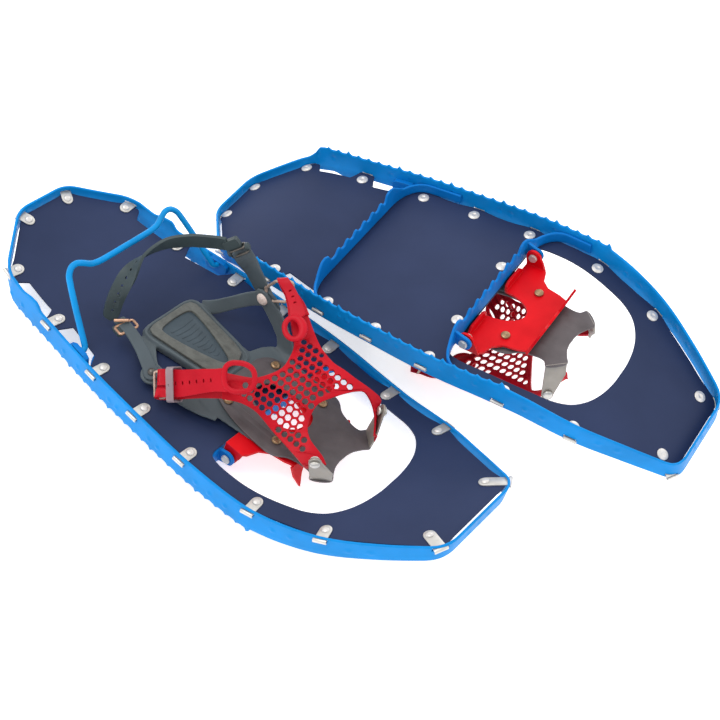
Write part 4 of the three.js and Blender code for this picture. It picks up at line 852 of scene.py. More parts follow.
def add_rail(tag):
    dimples = []
    for x in DIMPLE_X:
        z = -9.2 if x < 380 else deck_z(x) - 8.5
        dimples += [(x, rail_y(x) * side, z, 3.4, 0.9) for side in (1, -1)]
    for y in (-14, 0, 14):
        dimples += [(-8.8, y, deck_z(-9) - 4.5, 3.0, 0.8), (521.5, y, deck_z(521) - 8.5, 3.2, 0.9)]
    shape = wall(rail_stations(), rail_top, rail_bottom, RAIL_THICK, RAIL_ROWS, closed=True,
                 base=deck_z, slots=[(*clip["hit"], 6.2) for clip in CLIPS], dimples=dimples)
    add_piece(tag, "rail_bar", shape, "rail_blue", "frame", "frame_rail", angle=50)


BAR_HALF = 60  # half length of a crossbar's straight middle
# (y, z) of the lower edge near the left rail; then tooth width, tip z and root z in the middle
REAR_LOW = [(112, -13), (90, -12), (76, -12.5), (62, -23), (56, -24), (51, -22), (47, -14.5),
            (44, -14)]
REAR_TEETH = (15.5, -19, -14.5)
HINGE_LOW = [(112, -14), (92, -13), (80, -13.5), (66, -23), (60, -24), (55, -22), (51, -16.5),
             (48, -16)]
HINGE_TEETH = (14.5, -21.5, -16.5)


def bar_path(x_mid, x_near, x_far):
    """crossbar at x_mid whose ends sweep forward and lie along the rail to x_far"""
    inset = RAIL_THICK / 2 + BAR_GAP + BAR_THICK / 2
    half = []
    for k in range(13):
        x = x_far + (x_near - x_far) * k / 12
        half.append((x, rail_y(x) - inset))
    start, end = np.array(half[-1]), vec(x_mid, BAR_HALF)
    pull1 = vec(x_mid + (start[0] - x_mid) * 0.35, start[1] - 0.5)
    pull2 = vec(x_mid + 1.0, BAR_HALF + (start[1] - BAR_HALF) * 0.55)
    for k in range(1, 25):
        t = k / 24
        q = 1 - t
        half.append(tuple(q ** 3 * start + 3 * q * q * t * pull1 + 3 * q * t * t * pull2
                          + t ** 3 * end))
    count = int(2 * BAR_HALF / 0.9)
    middle = [(x_mid, BAR_HALF - 2 * BAR_HALF * k / count) for k in range(1, count)]
    return half + middle + [(x, -y) for x, y in half[::-1]]


def toothed_edge(low, teeth):
    pitch, tip, root = teeth
    y_start = low[-1][0]
    count = max(2, round(2 * y_start / pitch))
    width = 2 * y_start / count
    middle = []
    for i in range(count):
        y = y_start - i * width
        middle += [(y - width * 0.30, root), (y - width * 0.62, tip), (y - width * 0.80, tip + 0.4)]
        if i < count - 1:
            middle.append((y - width * 0.98, root))
    edge = low + middle + [(-y, z) for y, z in low[::-1]]
    ys, zs = zip(*edge[::-1])
    return lambda point: float(np.interp(point[1], ys, zs))


def add_crossbars(tag):
    def bar(ends, low, teeth):
        return wall(bar_path(*ends), lambda x: -2.0, toothed_edge(low, teeth), BAR_THICK,
                    rows=[-11.0, -8.0, -5.0])

    add_piece(tag, "rear_blade", bar((150, 176, 208), REAR_LOW, REAR_TEETH), "bar_blue",
              "frame", "rear_crossbar", angle=50)
    # lugs with a hinge hole, running forward from the straight part
    lug = [(311 + 7.4 * math.cos(a), -8 + 7.4 * math.sin(a))
           for a in np.linspace(-math.pi / 2, math.pi / 2, 15)]
    lug += [(303, -2.8), (299.6, -3.4), (299.6, -20), (303, -18.5)]
    sheet = fill(lug, [ellipse(311, -8, 2.9, 2.9, 20)])
    lugs = [solid(sheet, lambda a, b, h: vec(a, h, b), low, high)
            for low, high in ((65.6, 68.2), (-68.2, -65.6))]
    add_piece(tag, "hinge_blade", joined([bar((300, 326, 352), HINGE_LOW, HINGE_TEETH), *lugs]),
              "bar_blue", "frame", "hinge_crossbar", angle=50)


# ---------------------------------------------------------------- deck, clips, bail
DECK_THICK = 1.6
# (x, y) of the left half of the opening round the toe
TOE_OPENING = [(301.2, 68.0), (301.6, 75.5), (304.5, 80.2), (314, 82.6), (338, 82.2), (360, 80),
               (386, 75), (404, 70), (418, 61.5), (428, 48), (434, 32), (437, 13), (437.2, 0)]
# cut-outs in the deck's sides: x stations, depths
DECK_NOTCHES = [([46, 53, 89, 93.5], [1, 12.5, 13, 4]), ([111, 117.5, 155, 162.5], [4, 17, 14, 3])]


def deck_outline():
    """the rail's plan drawn in, less so by the clips, with the cut-outs"""
    edge = []
    for point, way in zip(LOOP, tangents(LOOP, closed=True)):
        near = min(norm(point - clip["hit"]) for clip in CLIPS)
        pull = 2.0 + 2.6 * math.sin(min(1, near / 26) * math.pi / 2) ** 2
        edge.append(point + vec(-way[1], way[0]) * pull)
    dense = []
    for start, end in zip(edge, edge[1:] + edge[:1]):
        count = max(1, int(norm(end - start) / 1.3))
        for k in range(count):
            x, y = start + (end - start) * k / count
            for stations, depths in DECK_NOTCHES:
                if abs(y) > 55 and stations[0] < x < stations[-1]:
                    inside = rail_y(x) - 1.2 - float(np.interp(x, stations, depths))
                    y = math.copysign(min(abs(y), inside), y)
            dense.append((x, y))
    return dense


def add_deck(tag):
    opening = mirrored(curve(TOE_OPENING, 80), slice(1, None))
    # lines across the curled ends let them bend
    cuts_x = [*np.arange(-8, 96, 6.0), 150, 200, 250, 300, *np.arange(336, 525, 6.0)]
    sheet = fill(deck_outline(), [opening], cuts_x=cuts_x, cuts_y=(-60, -30, 0, 30, 60))
    shape = solid(sheet, lambda a, b, h: vec(a, b, deck_z(a) + h), -DECK_THICK, 0.0)
    add_piece(tag, "deck_sheet", shape, "deck_navy", "frame", "deck_with_clips", angle=40)


# (radius, height) profiles
RIVET_UNDER = [(0, -2.5), (1.5, -2.5), (2.0, -2.9), (3.0, -3.0), (3.5, -2.75), (4.9, -2.55),
               (5.6, -2.2), (5.8, -1.62), (2.6, -1.62)]
CLIP_RIVET = RIVET_UNDER + [(2.6, 1.36), (3.5, 1.36), (3.6, 1.7), (3.3, 2.2), (2.5, 2.65),
                            (1.2, 2.9), (0, 2.95)]
DECK_RIVET = RIVET_UNDER + [(2.6, 0.02), (4.0, 0.02), (4.0, 0.6), (3.0, 1.0), (0, 1.1)]


def clip_shape(clip):
    """tab from the rivet through the rail's slot, and a hook outside the rail"""
    place = plane(clip["centre"], clip["out"], clip["across"], clip["up"])
    end = clip["reach"] + RAIL_THICK / 2 + 0.5
    outline = [(-6.0 * math.cos(a), 5.4 * math.sin(a))
               for a in np.linspace(-math.pi / 2, math.pi / 2, 13)]
    tab = solid(fill(outline + [(end, 5.4), (end, -5.4)]), place, 0.15, 1.35)
    line = curve([(end - 1.0, 1.4), (end + 0.5, 1.55), (end + 1.5, 0.9), (end + 1.6, -0.6),
                  (end + 0.5, -1.4)], 14)
    way = tangents(line)
    verts = []
    for (a, h), (da, dh) in zip(line, np.stack([-way[:, 1], way[:, 0]], 1) * 0.5):
        verts += [place(a + da, -6.2, h + dh), place(a + da, 6.2, h + dh),
                  place(a - da, 6.2, h - dh), place(a - da, -6.2, h - dh)]
    last = len(verts) - 4
    faces = grid_faces(len(line), 4) + [(3, 2, 1, 0), (last, last + 1, last + 2, last + 3)]
    return joined([tab, (verts, faces)])


def add_clips(tag):
    for number, clip in enumerate(CLIPS, 1):
        add_piece(tag, f"clip_{number:02d}", clip_shape(clip), "silver", "frame",
                  bevel=(0.28, 50))
        add_piece(tag, f"clip_rivet_{number:02d}",
                  lathe(CLIP_RIVET, clip["centre"], clip["up"], 28), "rivet_white", "frame",
                  angle=40)
    for side, name in ((1, "left"), (-1, "right")):
        add_piece(tag, f"deck_rivet_{name}",
                  lathe(DECK_RIVET, vec(288, 41 * side, 0), vec(0, 0, 1), 28), "rivet_white",
                  "frame", angle=40)


# left half of the bail: distance from the pivot line, y
BAIL_HALF = [(0, 91.7), (0, 89), (0, 85.8), (1.7, 83.2), (6, 81.9), (14, 80.2), (36, 75.4),
             (58, 70.0), (66.5, 67.0), (71.5, 61.5), (72.2, 55.5), (69.5, 49.0), (65.6, 42.5),
             (63.6, 35.0), (63.0, 18.0)]
BAIL_PIVOT_X, BAIL_PIVOT_Z = 146, 3.4


def add_bail(tag):
    raised = math.radians(SHOES[tag]["bail"])
    line = BAIL_HALF + [(63.0, 0)] + [(r, -y) for r, y in BAIL_HALF[::-1]]
    points = [(BAIL_PIVOT_X - r * math.cos(raised), y, BAIL_PIVOT_Z + r * math.sin(raised))
              for r, y in line]
    add_piece(tag, "bail_wire", tube(resample(curve(points, 900), 1.1), 2.9, 18), "bail_blue",
              "bail", "heel_bail", angle=60)


# ---------------------------------------------------------------- toe plate and its rivets
# (x, y) of the left half of the plate and of its window
TOE_PLATE = [(258, 24), (264, 34), (284, 42), (306, 46), (334, 47), (343, 45), (352, 38),
             (364, 34.5), (376, 34.5), (381, 40), (396, 27), (392, 20), (388, 12), (386.5, 5)]
WINDOW_HALF = [(281.2, 0), (282.5, 7), (287, 12.5), (297, 16.8), (312, 19), (328, 18.2),
               (338, 13.5), (342.6, 5), (343, 0)]
WINDOW = mirrored(curve(WINDOW_HALF, 30), slice(1, -1))
# x, y, name and foot heights of the rivets through plate and base
BASE_RIVETS = [(x, 31.5 * side, f"{end}_{name}", feet)
               for x, end, feet in ((275, "rear", (3.6, 5.4)), (334, "front", (0.4, 2.6)))
               for side, name in ((1, "left"), (-1, "right"))]


def make_ear(side, lean, tip_x, tip_y):
    """frame of an upright ear at the plate's front; lean: degrees outward"""
    out = unit((0.655, 0.756 * side, 0))
    along = unit((0.756, -0.655 * side, 0))
    up = unit(out * math.tan(math.radians(lean)) + vec(0, 0, 1))
    foot = vec(388.0, 33.0 * side, 9.0)
    return dict(side=side, out=out, along=along, up=up, normal=np.cross(along, up), foot=foot,
                tip=(tip_x, tip_y), button=foot + along * tip_x + up * (tip_y - 1.0))


EARS = [make_ear(1, 13, -8.0, 33.0), make_ear(-1, 9, -10.5, 31.5)]


def add_toe_plate(tag):
    holes = [ellipse(x, y, 2.7, 2.7, 18) for x, y, _, _ in BASE_RIVETS]
    sheet = fill(mirrored(curve(TOE_PLATE, 60)), holes + [WINDOW], cuts_x=(350,), cuts_y=(0,))
    add_piece(tag, "toe_plate_steel", solid(sheet, vec, 8.05, 9.85), "plate_dark",
              replaces="toe_plate", bevel=(0.35, 45))
    shapes = []
    for ear in EARS:
        tip_x, tip_y = ear["tip"]
        outline = [(-9.8, -0.9), (9.8, -0.9), (8.6, 12.0)]
        outline += [(tip_x + 5.6 * math.cos(a), tip_y + 5.6 * math.sin(a))
                    for a in np.linspace(0, math.pi, 14)]
        sheet = fill(outline, [ellipse(tip_x, tip_y - 1.0, 2.0, 2.0, 18)], cuts_y=(6, 12, 20))
        place = plane(ear["foot"], ear["along"], ear["up"], ear["normal"])
        shapes.append(solid(sheet, place, -0.9, 0.9))
    add_piece(tag, "toe_plate_ears", joined(shapes), "ear_steel", bevel=(0.35, 45))


# Hubs at the ankle, where the heel links turn on the base
HUB_L, HUB_L_AXIS = vec(230, 55.6, 47), unit((0.05, 1, 0.12))
HUB_R, HUB_R_AXIS = vec(209.5, -62.6, 10.6), unit((0.06, -0.30, 0.95))
LINK_LIFT = 3.0  # from a hub's middle to the middle of its link


def add_binding_rivets(tag):
    for x, y, name, (low, high) in BASE_RIVETS:
        profile = [(0, low + 0.3), (1.6, low + 0.2), (2.0, low), (3.6, low), (4.3, low + 0.6),
                   (4.3, high), (2.4, high), (2.4, 10.2), (4.5, 10.2), (4.6, 10.8), (4.0, 11.7),
                   (2.6, 12.2), (1.7, 12.0), (1.4, 11.2), (0, 11.0)]
        add_piece(tag, f"base_rivet_{name}_turned", lathe(profile, vec(x, y, 0), vec(0, 0, 1), 30),
                  "bronze", replaces=f"base_rivet_{name}", angle=45)
    # name, centre, axis, head radius, foot radius, material
    for name, centre, axis, head, foot, mat in (
            ("left", HUB_L, HUB_L_AXIS - vec(0.10, 0, 0.22), 6.0, 6.0, "rivet_pale"),
            ("right", HUB_R, HUB_R_AXIS, 3.6, 4.8, "rivet_dark")):
        profile = [(0, -4.4), (foot * 0.5, -4.2), (foot - 0.8, -3.4), (foot, -2.4),
                   (foot - 0.2, -1.3), (2.5, -1.4)]
        profile += [(r, LINK_LIFT + h) for r, h in (
            (2.5, 1.3), (head - 0.4, 1.3), (head, 1.9), (head - 0.3, 2.7), (head - 1.4, 3.3),
            (head * 0.4, 3.8), (0, 3.9))]
        add_piece(tag, f"ankle_rivet_{name}_turned", lathe(profile, centre, axis, 32), mat,
                  replaces=f"ankle_rivet_{name}", angle=45)


# ---------------------------------------------------------------- moulded base and heel pad
# (x, y) of left halves
HEEL_SLAB = [(163, 24), (165, 31), (171, 35.2), (184, 34.5), (205, 31), (238, 27), (252, 27)]
TOE_SLAB = [(246, 27), (250, 40), (256, 49), (268, 52), (300, 48.5), (322, 45.5), (344, 41)]
PAD_RIM = [(165.2, 0), (165.4, 22), (168, 30), (174, 32.4), (186, 31.4), (206, 28.6),
           (236, 24.6), (250, 20), (254, 8), (254, 0)]
# Arms of the base up to the hubs: path, direction across, widths
ARMS = [
    ([(179, 33.2, 7.0), (188, 38.5, 11), (204, 47.5, 25), (218, 53, 38), (231, 55.4, 48)],
     [(0.85, 0, -0.3), (0.8, 0, -0.5), (0.75, 0, -0.66), (0.75, 0, -0.66), (0.7, 0, -0.7)],
     [13, 14, 13, 14, 15]),
    ([(268, 44, 6.2), (269.5, 50.6, 8.6), (263, 54.2, 21), (248, 55.4, 36), (232, 55.4, 47.5)],
     [(1, 0, 0), (0.98, 0, 0.15), (0.85, 0, 0.55), (0.75, 0, 0.65), (0.7, 0, 0.72)],
     [21, 21, 19, 20, 17]),
    ([(173, -31.5, 5.6), (182, -40, 5.2), (194, -50.5, 6.4), (208.5, -61.8, 10.2)],
     [(0.8, 0.55, 0), (0.8, 0.55, 0), (0.8, 0.55, 0.05), (0.7, 0.65, 0.15)],
     [15, 14, 14, 15]),
    ([(277, -44.5, 6.1), (262, -52, 5.4), (240, -58.2, 5.0), (212, -62.4, 9.6)],
     [(0.45, 0.9, 0), (0.4, 0.92, 0), (0.3, 0.95, 0.03), (0.2, 0.95, 0.25)],
     [23, 19, 15, 15]),
]
ARM_THICK = 2.6


def add_base(tag):
    grown = [(x + (1.2 if x > 312.0 else -1.2), y + 1.2 * float(np.sign(y))) for x, y in WINDOW]
    rim = mirrored(curve(PAD_RIM, 120), slice(1, -1))
    shapes = [solid(fill(mirrored(HEEL_SLAB)), vec, 0.8, 7.6),
              solid(fill(mirrored(TOE_SLAB), [grown]), vec, 5.6, 7.6),
              tube([(x, y, 7.9) for x, y in rim], 1.7, 10, closed=True)]
    shapes += [band(path, across, width, ARM_THICK)[0] for path, across, width in ARMS]
    shapes += [disc(centre, axis, 10.6, 1.35, 30)
               for centre, axis in ((HUB_L, HUB_L_AXIS), (HUB_R, HUB_R_AXIS))]
    add_fused(tag, "base_moulding", shapes, "urethane", "binding", voxel=0.85, smooth=5,
              replaces="binding_base")


HEEL_PAD = [(167.5, 20), (169.5, 26.4), (175, 28.8), (184, 28.0), (205, 25.4), (234, 21.6),
            (244, 18.5), (249, 10)]
PAD_RECESS = [(176.2, 17.0), (180.0, 19.3), (239.5, 4.6), (243.0, 1.4)]


def add_heel_pad(tag):
    """raised outer band, and a sunk triangle with chevrons"""
    recess = [tuple(p) for p in curve(mirrored(PAD_RECESS), 60, closed=True)][::-1]
    add_piece(tag, "heel_pad_rubber",
              solid(fill(mirrored(HEEL_PAD), [recess]), vec, PAD_BOTTOM, 10.9), "pad_grey",
              replaces="heel_pad", bevel=(0.45, 45))
    shapes = [solid(fill(recess), vec, 7.96, 9.0)]
    for i in range(9):
        x = 184 + i * 5.6
        half = 14.5 * (1 - (x - 180) / 62)
        chevron = [(x, -half), (x + 1.6, -half), (x + 3.0, 0), (x + 1.6, half), (x, half),
                   (x + 1.4, 0)]
        shapes.append(solid(fill(chevron), vec, 8.8, 9.35))
    add_piece(tag, "heel_pad_insert", joined(shapes), "pad_recess", bevel=(0.2, 45))


# ---------------------------------------------------------------- forefoot cradle
# Measured from CRADLE_ORIGIN: along VIEW_RIGHT, along VIEW_DOWN, rise along VIEW_BACK
CRADLE_ORIGIN = vec(322.2, -0.3, 57.0)
RISES = np.array([
    [-67.2, -7.8, -0.4], [-66.7, 15.6, 3.5], [-50.6, 19.2, -0.5], [-37.2, 6.0, 3.3],
    [-23.4, 42.9, 4.4], [-7.4, 50.9, 8.3], [8.0, 74.5, 25.9], [17.2, 69.0, 19.9], [0, 0, 0],
    [16.5, 19.1, 2.5], [10.0, 47.4, 9.9], [37.5, 11.4, -1.8], [57.6, 8.9, -9.5],
    [73.6, 21.6, -19.2], [71.8, 45.4, -17.0], [35.6, -10.4, -12.1], [-0.2, -31.7, -23.3],
    [9.3, -47.0, -31.1], [-9.4, -52.2, -27.8], [-39.2, -2.6, 0.4], [-21.1, -7.8, -2.3]])
CRADLE = np.array([
    (-66.8, 15.6), (-50.6, 19.2), (-36.9, 27.0), (-23.4, 42.9), (-9.8, 56.8), (1.3, 68.1),
    (7.2, 75.4), (15.7, 77.2), (24.0, 71.7), (20.5, 64.2), (10.9, 51.6), (7.7, 40.6),
    (11.2, 28.3), (17.5, 19.5), (29.6, 14.4), (39.2, 11.4), (49.7, 9.3), (57.6, 10.3),
    (63.8, 20.9), (66.4, 33.8), (65.5, 48.7), (76.2, 49.0), (77.2, 27.9), (72.7, 17.1),
    (61.8, 7.3), (49.7, -1.2), (40.0, -8.6), (29.3, -15.7), (18.5, -29.0), (11.1, -45.2),
    (6.5, -57.8), (-9.5, -57.7), (-7.5, -45.1), (-5.4, -31.6), (-8.6, -21.0), (-15.1, -10.9),
    (-27.1, -5.2), (-38.7, -2.6), (-51.5, -4.4), (-67.2, -7.8)])
CRADLE_NEXT = np.roll(CRADLE, -1, 0)
CRADLE_CORNERS = {0, 6, 7, 8, 20, 21, 30, 31, 39}
HOLE_STEPS = vec(6.7, -3.3), vec(5.3, 4.0)  # the two steps of the hole pattern


def spline_kernel(r):
    return np.where(r > 1e-9, r * r * np.log(np.maximum(r, 1e-12)), 0.0)


def fit_rises():
    """weights of the smoothed thin-plate spline through RISES"""
    count = len(RISES)
    plan = RISES[:, :2] / 100
    away = plan[:, None] - plan[None]
    system = np.zeros((count + 3, count + 3))
    kernel = spline_kernel(np.hypot(away[..., 0], away[..., 1]))
    system[:count, :count] = kernel + 0.006 * np.eye(count)
    system[:count, count] = 1
    system[:count, count + 1:] = plan
    system[count:, :count] = system[:count, count:].T
    return np.linalg.solve(system, np.r_[RISES[:, 2], 0, 0, 0])


RISE_WEIGHTS = fit_rises()


def drape(a, b):
    """point of the cradle's middle surface"""
    away = np.hypot(a - RISES[:, 0], b - RISES[:, 1]) / 100
    rise = float(RISE_WEIGHTS @ np.r_[spline_kernel(away), 1, a / 100, b / 100])
    return CRADLE_ORIGIN + VIEW_RIGHT * a + VIEW_DOWN * b + VIEW_BACK * rise


def drape_normal(a, b):
    return unit(np.cross(drape(a, b + 1) - drape(a, b - 1), drape(a + 1, b) - drape(a - 1, b)))


def tuck(point):
    """the cradle's front tips turn down inside the ears"""
    for ear in EARS:
        away = point - ear["foot"]
        if abs(away.dot(ear["along"])) > 22 or away.dot(ear["out"]) < -12:
            continue
        limit = away[2] * ear["up"].dot(ear["out"]) / ear["up"][2] - 2.6
        excess = away.dot(ear["out"]) - limit
        if excess > 0:
            share = min(1.0, max(0.0, (50 - away[2]) / 10.0))
            point = point - ear["out"] * excess * share - vec(0, 0, excess * share * 0.9)
    return point


def depth_inside(point):
    """distance to the cradle's outline, negative outside it"""
    side = CRADLE_NEXT - CRADLE
    share = np.clip(((point - CRADLE) * side).sum(1) / (side * side).sum(1), 0, 1)
    distance = norm(point - CRADLE - share[:, None] * side, axis=1).min()
    inside = False
    for a, b in zip(CRADLE, CRADLE_NEXT):
        if (a[1] > point[1]) != (b[1] > point[1]):
            if point[0] < (b[0] - a[0]) * (point[1] - a[1]) / (b[1] - a[1]) + a[0]:
                inside = not inside
    return distance if inside else -distance


def cradle_outline():
    """curve through the outline, but straight into its corners"""
    count = len(CRADLE)
    out = []
    for i in range(count):
        before, start, end, after = (CRADLE[(i + k) % count] for k in (-1, 0, 1, 2))
        chord = end - start
        leave = chord if i in CRADLE_CORNERS else (end - before) / 2
        arrive = chord if (i + 1) % count in CRADLE_CORNERS else (after - start) / 2
        if norm(leave) > norm(chord):
            leave = leave / norm(leave) * norm(chord)
        if norm(arrive) > norm(chord):
            arrive = arrive / norm(arrive) * norm(chord)
        out += [hermite(start, end, leave, arrive, k / 3) for k in range(3)]
    return out


def cradle_holes():
    holes = []
    for i in range(-22, 23):
        for j in range(-22, 23):
            x, y = centre = HOLE_STEPS[0] * i + HOLE_STEPS[1] * j + vec(1.5, 6.5)
            if not (-50 <= x <= 63 and -36 <= y <= 60):
                continue
            depth = depth_inside(centre)
            radius = 2.8 if depth >= 4.0 else 2.3
            if depth < radius + 1.15:
                continue
            hole = []
            for a in -angles(18):  # slightly six-sided
                r = radius * (1 + 0.045 * math.cos(6 * a))
                hole.append((x + r * math.cos(a), y + r * math.sin(a)))
            holes.append(hole)
    return holes


KNOB = [(0, -4.4), (3.4, -4.2), (4.0, -3.4), (3.9, -2.9), (1.8, -2.8), (1.8, 0.95), (3.9, 1.0),
        (4.4, 1.7), (4.2, 3.0), (3.2, 3.9), (0, 4.1)]


def add_cradle(tag):
    shape = solid(fill(cradle_outline(), cradle_holes()),
                  lambda a, b, h: tuck(drape(a, b) + drape_normal(a, b) * h), -1.3, 1.3)
    add_piece(tag, "cradle_skin", shape, "cradle_red", replaces="forefoot_cradle", angle=45,
              bevel=(0.35, 50))
    for ear, name in zip(EARS, ("left", "right")):  # knobs through the ears' holes
        add_piece(tag, f"cradle_knob_{name}",
                  lathe(KNOB, ear["button"], -ear["normal"] * ear["side"], 26), "silver",
                  angle=45)


# ---------------------------------------------------------------- forefoot straps
ACROSS_R, ACROSS_L = unit((0.55, -0.5, -0.67)), unit((0.72, 0.60, 0.20))
# The right strap runs out below, round the metal loop and back above
LOWER_R = [drape(-66.0, 4.2), vec(259, -53.4, 33.8), vec(244.5, -60.6, 25.6),
           vec(232, -67.0, 18.4)]
TURN_R = [(226.6, -70.2, 16.4), (226.0, -71.8, 19.8)]
UPPER_R = [vec(231.5, -70.2, 24.4), vec(244.5, -65.0, 32.2), vec(262, -56.6, 45.2),
           vec(272, -51.8, 52.0), vec(280.6, -47.8, 57.2)]
WIDTHS_R = [22, 22.5, 24, 25, 25, 25, 25, 24, 21, 19.5, 21]
# Direction of the lower run, and the square direction across it
ALONG_R = unit(LOWER_R[1] - LOWER_R[3])
SIDE_R = square_to(ACROSS_R, ALONG_R)
START_L = drape(-1.5, -57.0)
PATH_L = [(268.2, 52.2, 71.6), (257, 55.2, 76.6), (248.5, 56.6, 81.0), (245.0, 56.2, 85.0),
          (247.6, 53.2, 88.0), (259.5, 50.6, 85.2), (272.6, 45.0, 80.4), (282.4, 38.3, 77.4)]
WIDTHS_L = [19, 16, 10.5, 10, 9.5, 9.5, 9.5, 12.0, 14]


def add_right_strap(tag):
    def holes(length, knots):
        return [ellipse(knots[at] + 12 + k * 7.2, 0, 0.9, 1.9, 12)
                for at, count in ((6, 6), (0, 3)) for k in range(count)]

    path = LOWER_R + TURN_R + UPPER_R
    shape, place, length = band(path, [ACROSS_R] * len(path), WIDTHS_R, 2.3, holes, step=1.8)
    add_piece(tag, "strap_right_band", shape, "strap_red", replaces="forefoot_strap_right",
              angle=45, bevel=(0.45, 50))

    along = unit(vec(291, -41.5, 62.2) - vec(279, -48.6, 56.4))
    across = unit(place(length - 1, 5, 0) - place(length - 1, -5, 0))
    normal = upward_normal(along, across)
    centre = vec(289.6, -42.4, 61.6) - across * 2.0 + normal * 0.8
    ring = []
    for a in angles(90):  # squarish ring, tapered on its lower half
        c, s = math.cos(a), math.sin(a)
        taper = 1 - 0.16 * c if s < 0 else 1
        ring.append(centre + along * 14.0 * math.copysign(abs(c) ** 0.78, c)
                    + across * 12.4 * math.copysign(abs(s) ** 0.78, s) * taper)
    shape = tube(resample_ring(np.array(ring), 1.0), 2.4, 14, closed=True)
    add_piece(tag, "strap_right_finger_loop", flattened(shape, centre, normal), "strap_red",
              angle=60)


def add_left_strap(tag):
    def holes(length, knots):
        return [ellipse(knots[6] + k * 6.0, 0, 0.9, 1.6, 12) for k in range(3)]

    path = folded([START_L] + PATH_L, STRAP_FOLD, SHOES[tag]["strap_rise"])
    path[0] = START_L
    shape, place, length = band(path, [ACROSS_L] * len(path), WIDTHS_L, 2.2, holes,
                                end_round=4, step=1.6)
    add_piece(tag, "strap_left_band", shape, "strap_red", replaces="forefoot_strap_left",
              angle=45, bevel=(0.4, 50))

    along = unit(place(length - 0.5, 0, 0) - place(length - 8, 0, 0))
    across = unit(place(length - 1, 4, 0) - place(length - 1, -4, 0))
    normal = upward_normal(along, across)
    centre = place(length, 0, 0) + along * 9.4 - across * 5.8 + normal * 0.6
    turns = angles(64)
    ring = [centre + along * 10.6 * math.cos(a) + across * 8.2 * math.sin(a) for a in turns]
    shape = tube(ring, [2.5 + 1.6 * max(0.0, math.sin(a)) for a in turns], 14, closed=True)
    add_piece(tag, "strap_left_finger_loop", flattened(shape, centre, normal), "strap_red",
              angle=60)


LOOP_L = [(229.4, 56.2, 60.6), (236.5, 55.0, 73.0), (242.6, 51.6, 83.2), (245.4, 52.6, 84.6),
          (251.6, 58.0, 86.0), (254.6, 59.6, 84.6), (256.6, 58.8, 72.0), (254.3, 57.6, 62.2),
          (247.0, 56.6, 56.4), (238.0, 56.2, 51.2), (232.6, 56.2, 52.6)]


def add_strap_loops(tag):
    centre = vec(231.2, -68.3, 20.3) - ALONG_R * 5.5
    ring = rounded_rect(centre, SIDE_R, ALONG_R, 23.5, 10.6, 2.2)
    add_piece(tag, "loop_right_wire", tube(ring, 1.15, 12, closed=True), "tan_metal",
              replaces="strap_loop_right", angle=60)
    ring = folded(LOOP_L, STRAP_FOLD, SHOES[tag]["strap_rise"])
    line = resample(curve(ring + ring[:1], 400), 0.9)[:-1]
    add_piece(tag, "loop_left_wire", tube(line, 1.45, 12, closed=True), "tan_metal",
              replaces="strap_loop_left", angle=60)


# section of the keeper's wall: along the strap, outward
KEEPER_SECTION = [(-3.5, -0.55), (-3.1, -0.8), (3.1, -0.8), (3.5, -0.55), (3.5, 0.55),
                  (3.1, 0.8), (-3.1, 0.8), (-3.5, 0.55)]


def add_keeper(tag):
    """band round both runs of the right strap"""
    low, high = LOWER_R[2], UPPER_R[1]
    middle = (low + high) / 2
    middle = middle + ALONG_R * ((low - middle).dot(ALONG_R) - 6.5)
    up = np.cross(ALONG_R, SIDE_R)
    apart = abs((high - low).dot(up))
    ring = rounded_rect(vec(0, 0, 0), vec(1, 0, 0), vec(0, 1, 0), 30.0, apart + 8.4 + 1.5, 2.5)
    verts = []
    for point, way in zip(ring, tangents(ring, True)):
        for along, out in KEEPER_SECTION:
            x, y, _ = point + vec(way[1], -way[0], 0) * out
            verts.append(middle + SIDE_R * x + up * y + ALONG_R * along)
    faces = grid_faces(len(ring), len(KEEPER_SECTION), closed=True)
    add_piece(tag, "keeper_ring", (verts, faces), "keeper_clear", "keeper", "strap_keeper",
              angle=50)


# ---------------------------------------------------------------- heel strap, links, buckles
HEEL_PATH = [(186.5, 44.6, 90.4), (173.3, 40, 85.3), (153.7, 30, 77.8), (138.5, 15, 70.4),
             (132.1, -4, 62.0), (131.6, -22, 47.0), (132.8, -36, 27.0), (135.6, -43, 14.6),
             (137.4, -46.4, 8.8)]
HEEL_ACROSS = [(0.15, -0.12, 0.98), (0.15, -0.12, 0.98), (0.15, -0.12, 0.98), (0.3, 0.0, 0.95),
               (0.45, 0.05, 0.89), (0.65, 0.5, 0.45), (0.50, 0.82, 0.05), (0.42, 0.88, 0.0),
               (0.42, 0.88, 0.0)]
HEEL_WIDTHS = [15, 16, 16.5, 16.5, 16.5, 16.5, 16, 15.5, 12]
LINK_L_START = HUB_L + HUB_L_AXIS * LINK_LIFT
LINK_L_TOP = [(210.5, 57.0, 68), (201, 52.8, 81.0), (194.6, 49.4, 89.0)]
LINK_L_ACROSS = [(0.70, 0.05, 0.70), (0.72, 0.0, 0.66), (0.70, 0.1, 0.6), (0.3, 0.6, 0.7),
                 (-0.4, 0.5, 0.7)]
LINK_R_START = HUB_R + HUB_R_AXIS * LINK_LIFT
LINK_R_PATH = [LINK_R_START + vec(1, -0.6, 0), vec(200, -60.0, 16.6), vec(188, -56.0, 20.6),
               vec(172, -52.0, 23.6), vec(157, -48.2, 21.4), vec(147.4, -45.4, 17.6)]
LINK_R_ACROSS = [(0.45, 0.85, 0.25), (0.45, 0.85, 0.25), (0.4, 0.88, 0.2), (0.2, 0.95, 0.1),
                 (0.1, 0.95, 0.1), (0.1, 0.95, 0.1)]


def heel_folded(tag, points):
    return folded(points, HEEL_FOLD, SHOES[tag]["heel_rise"])


def units(rows):
    return [unit(row) for row in rows]


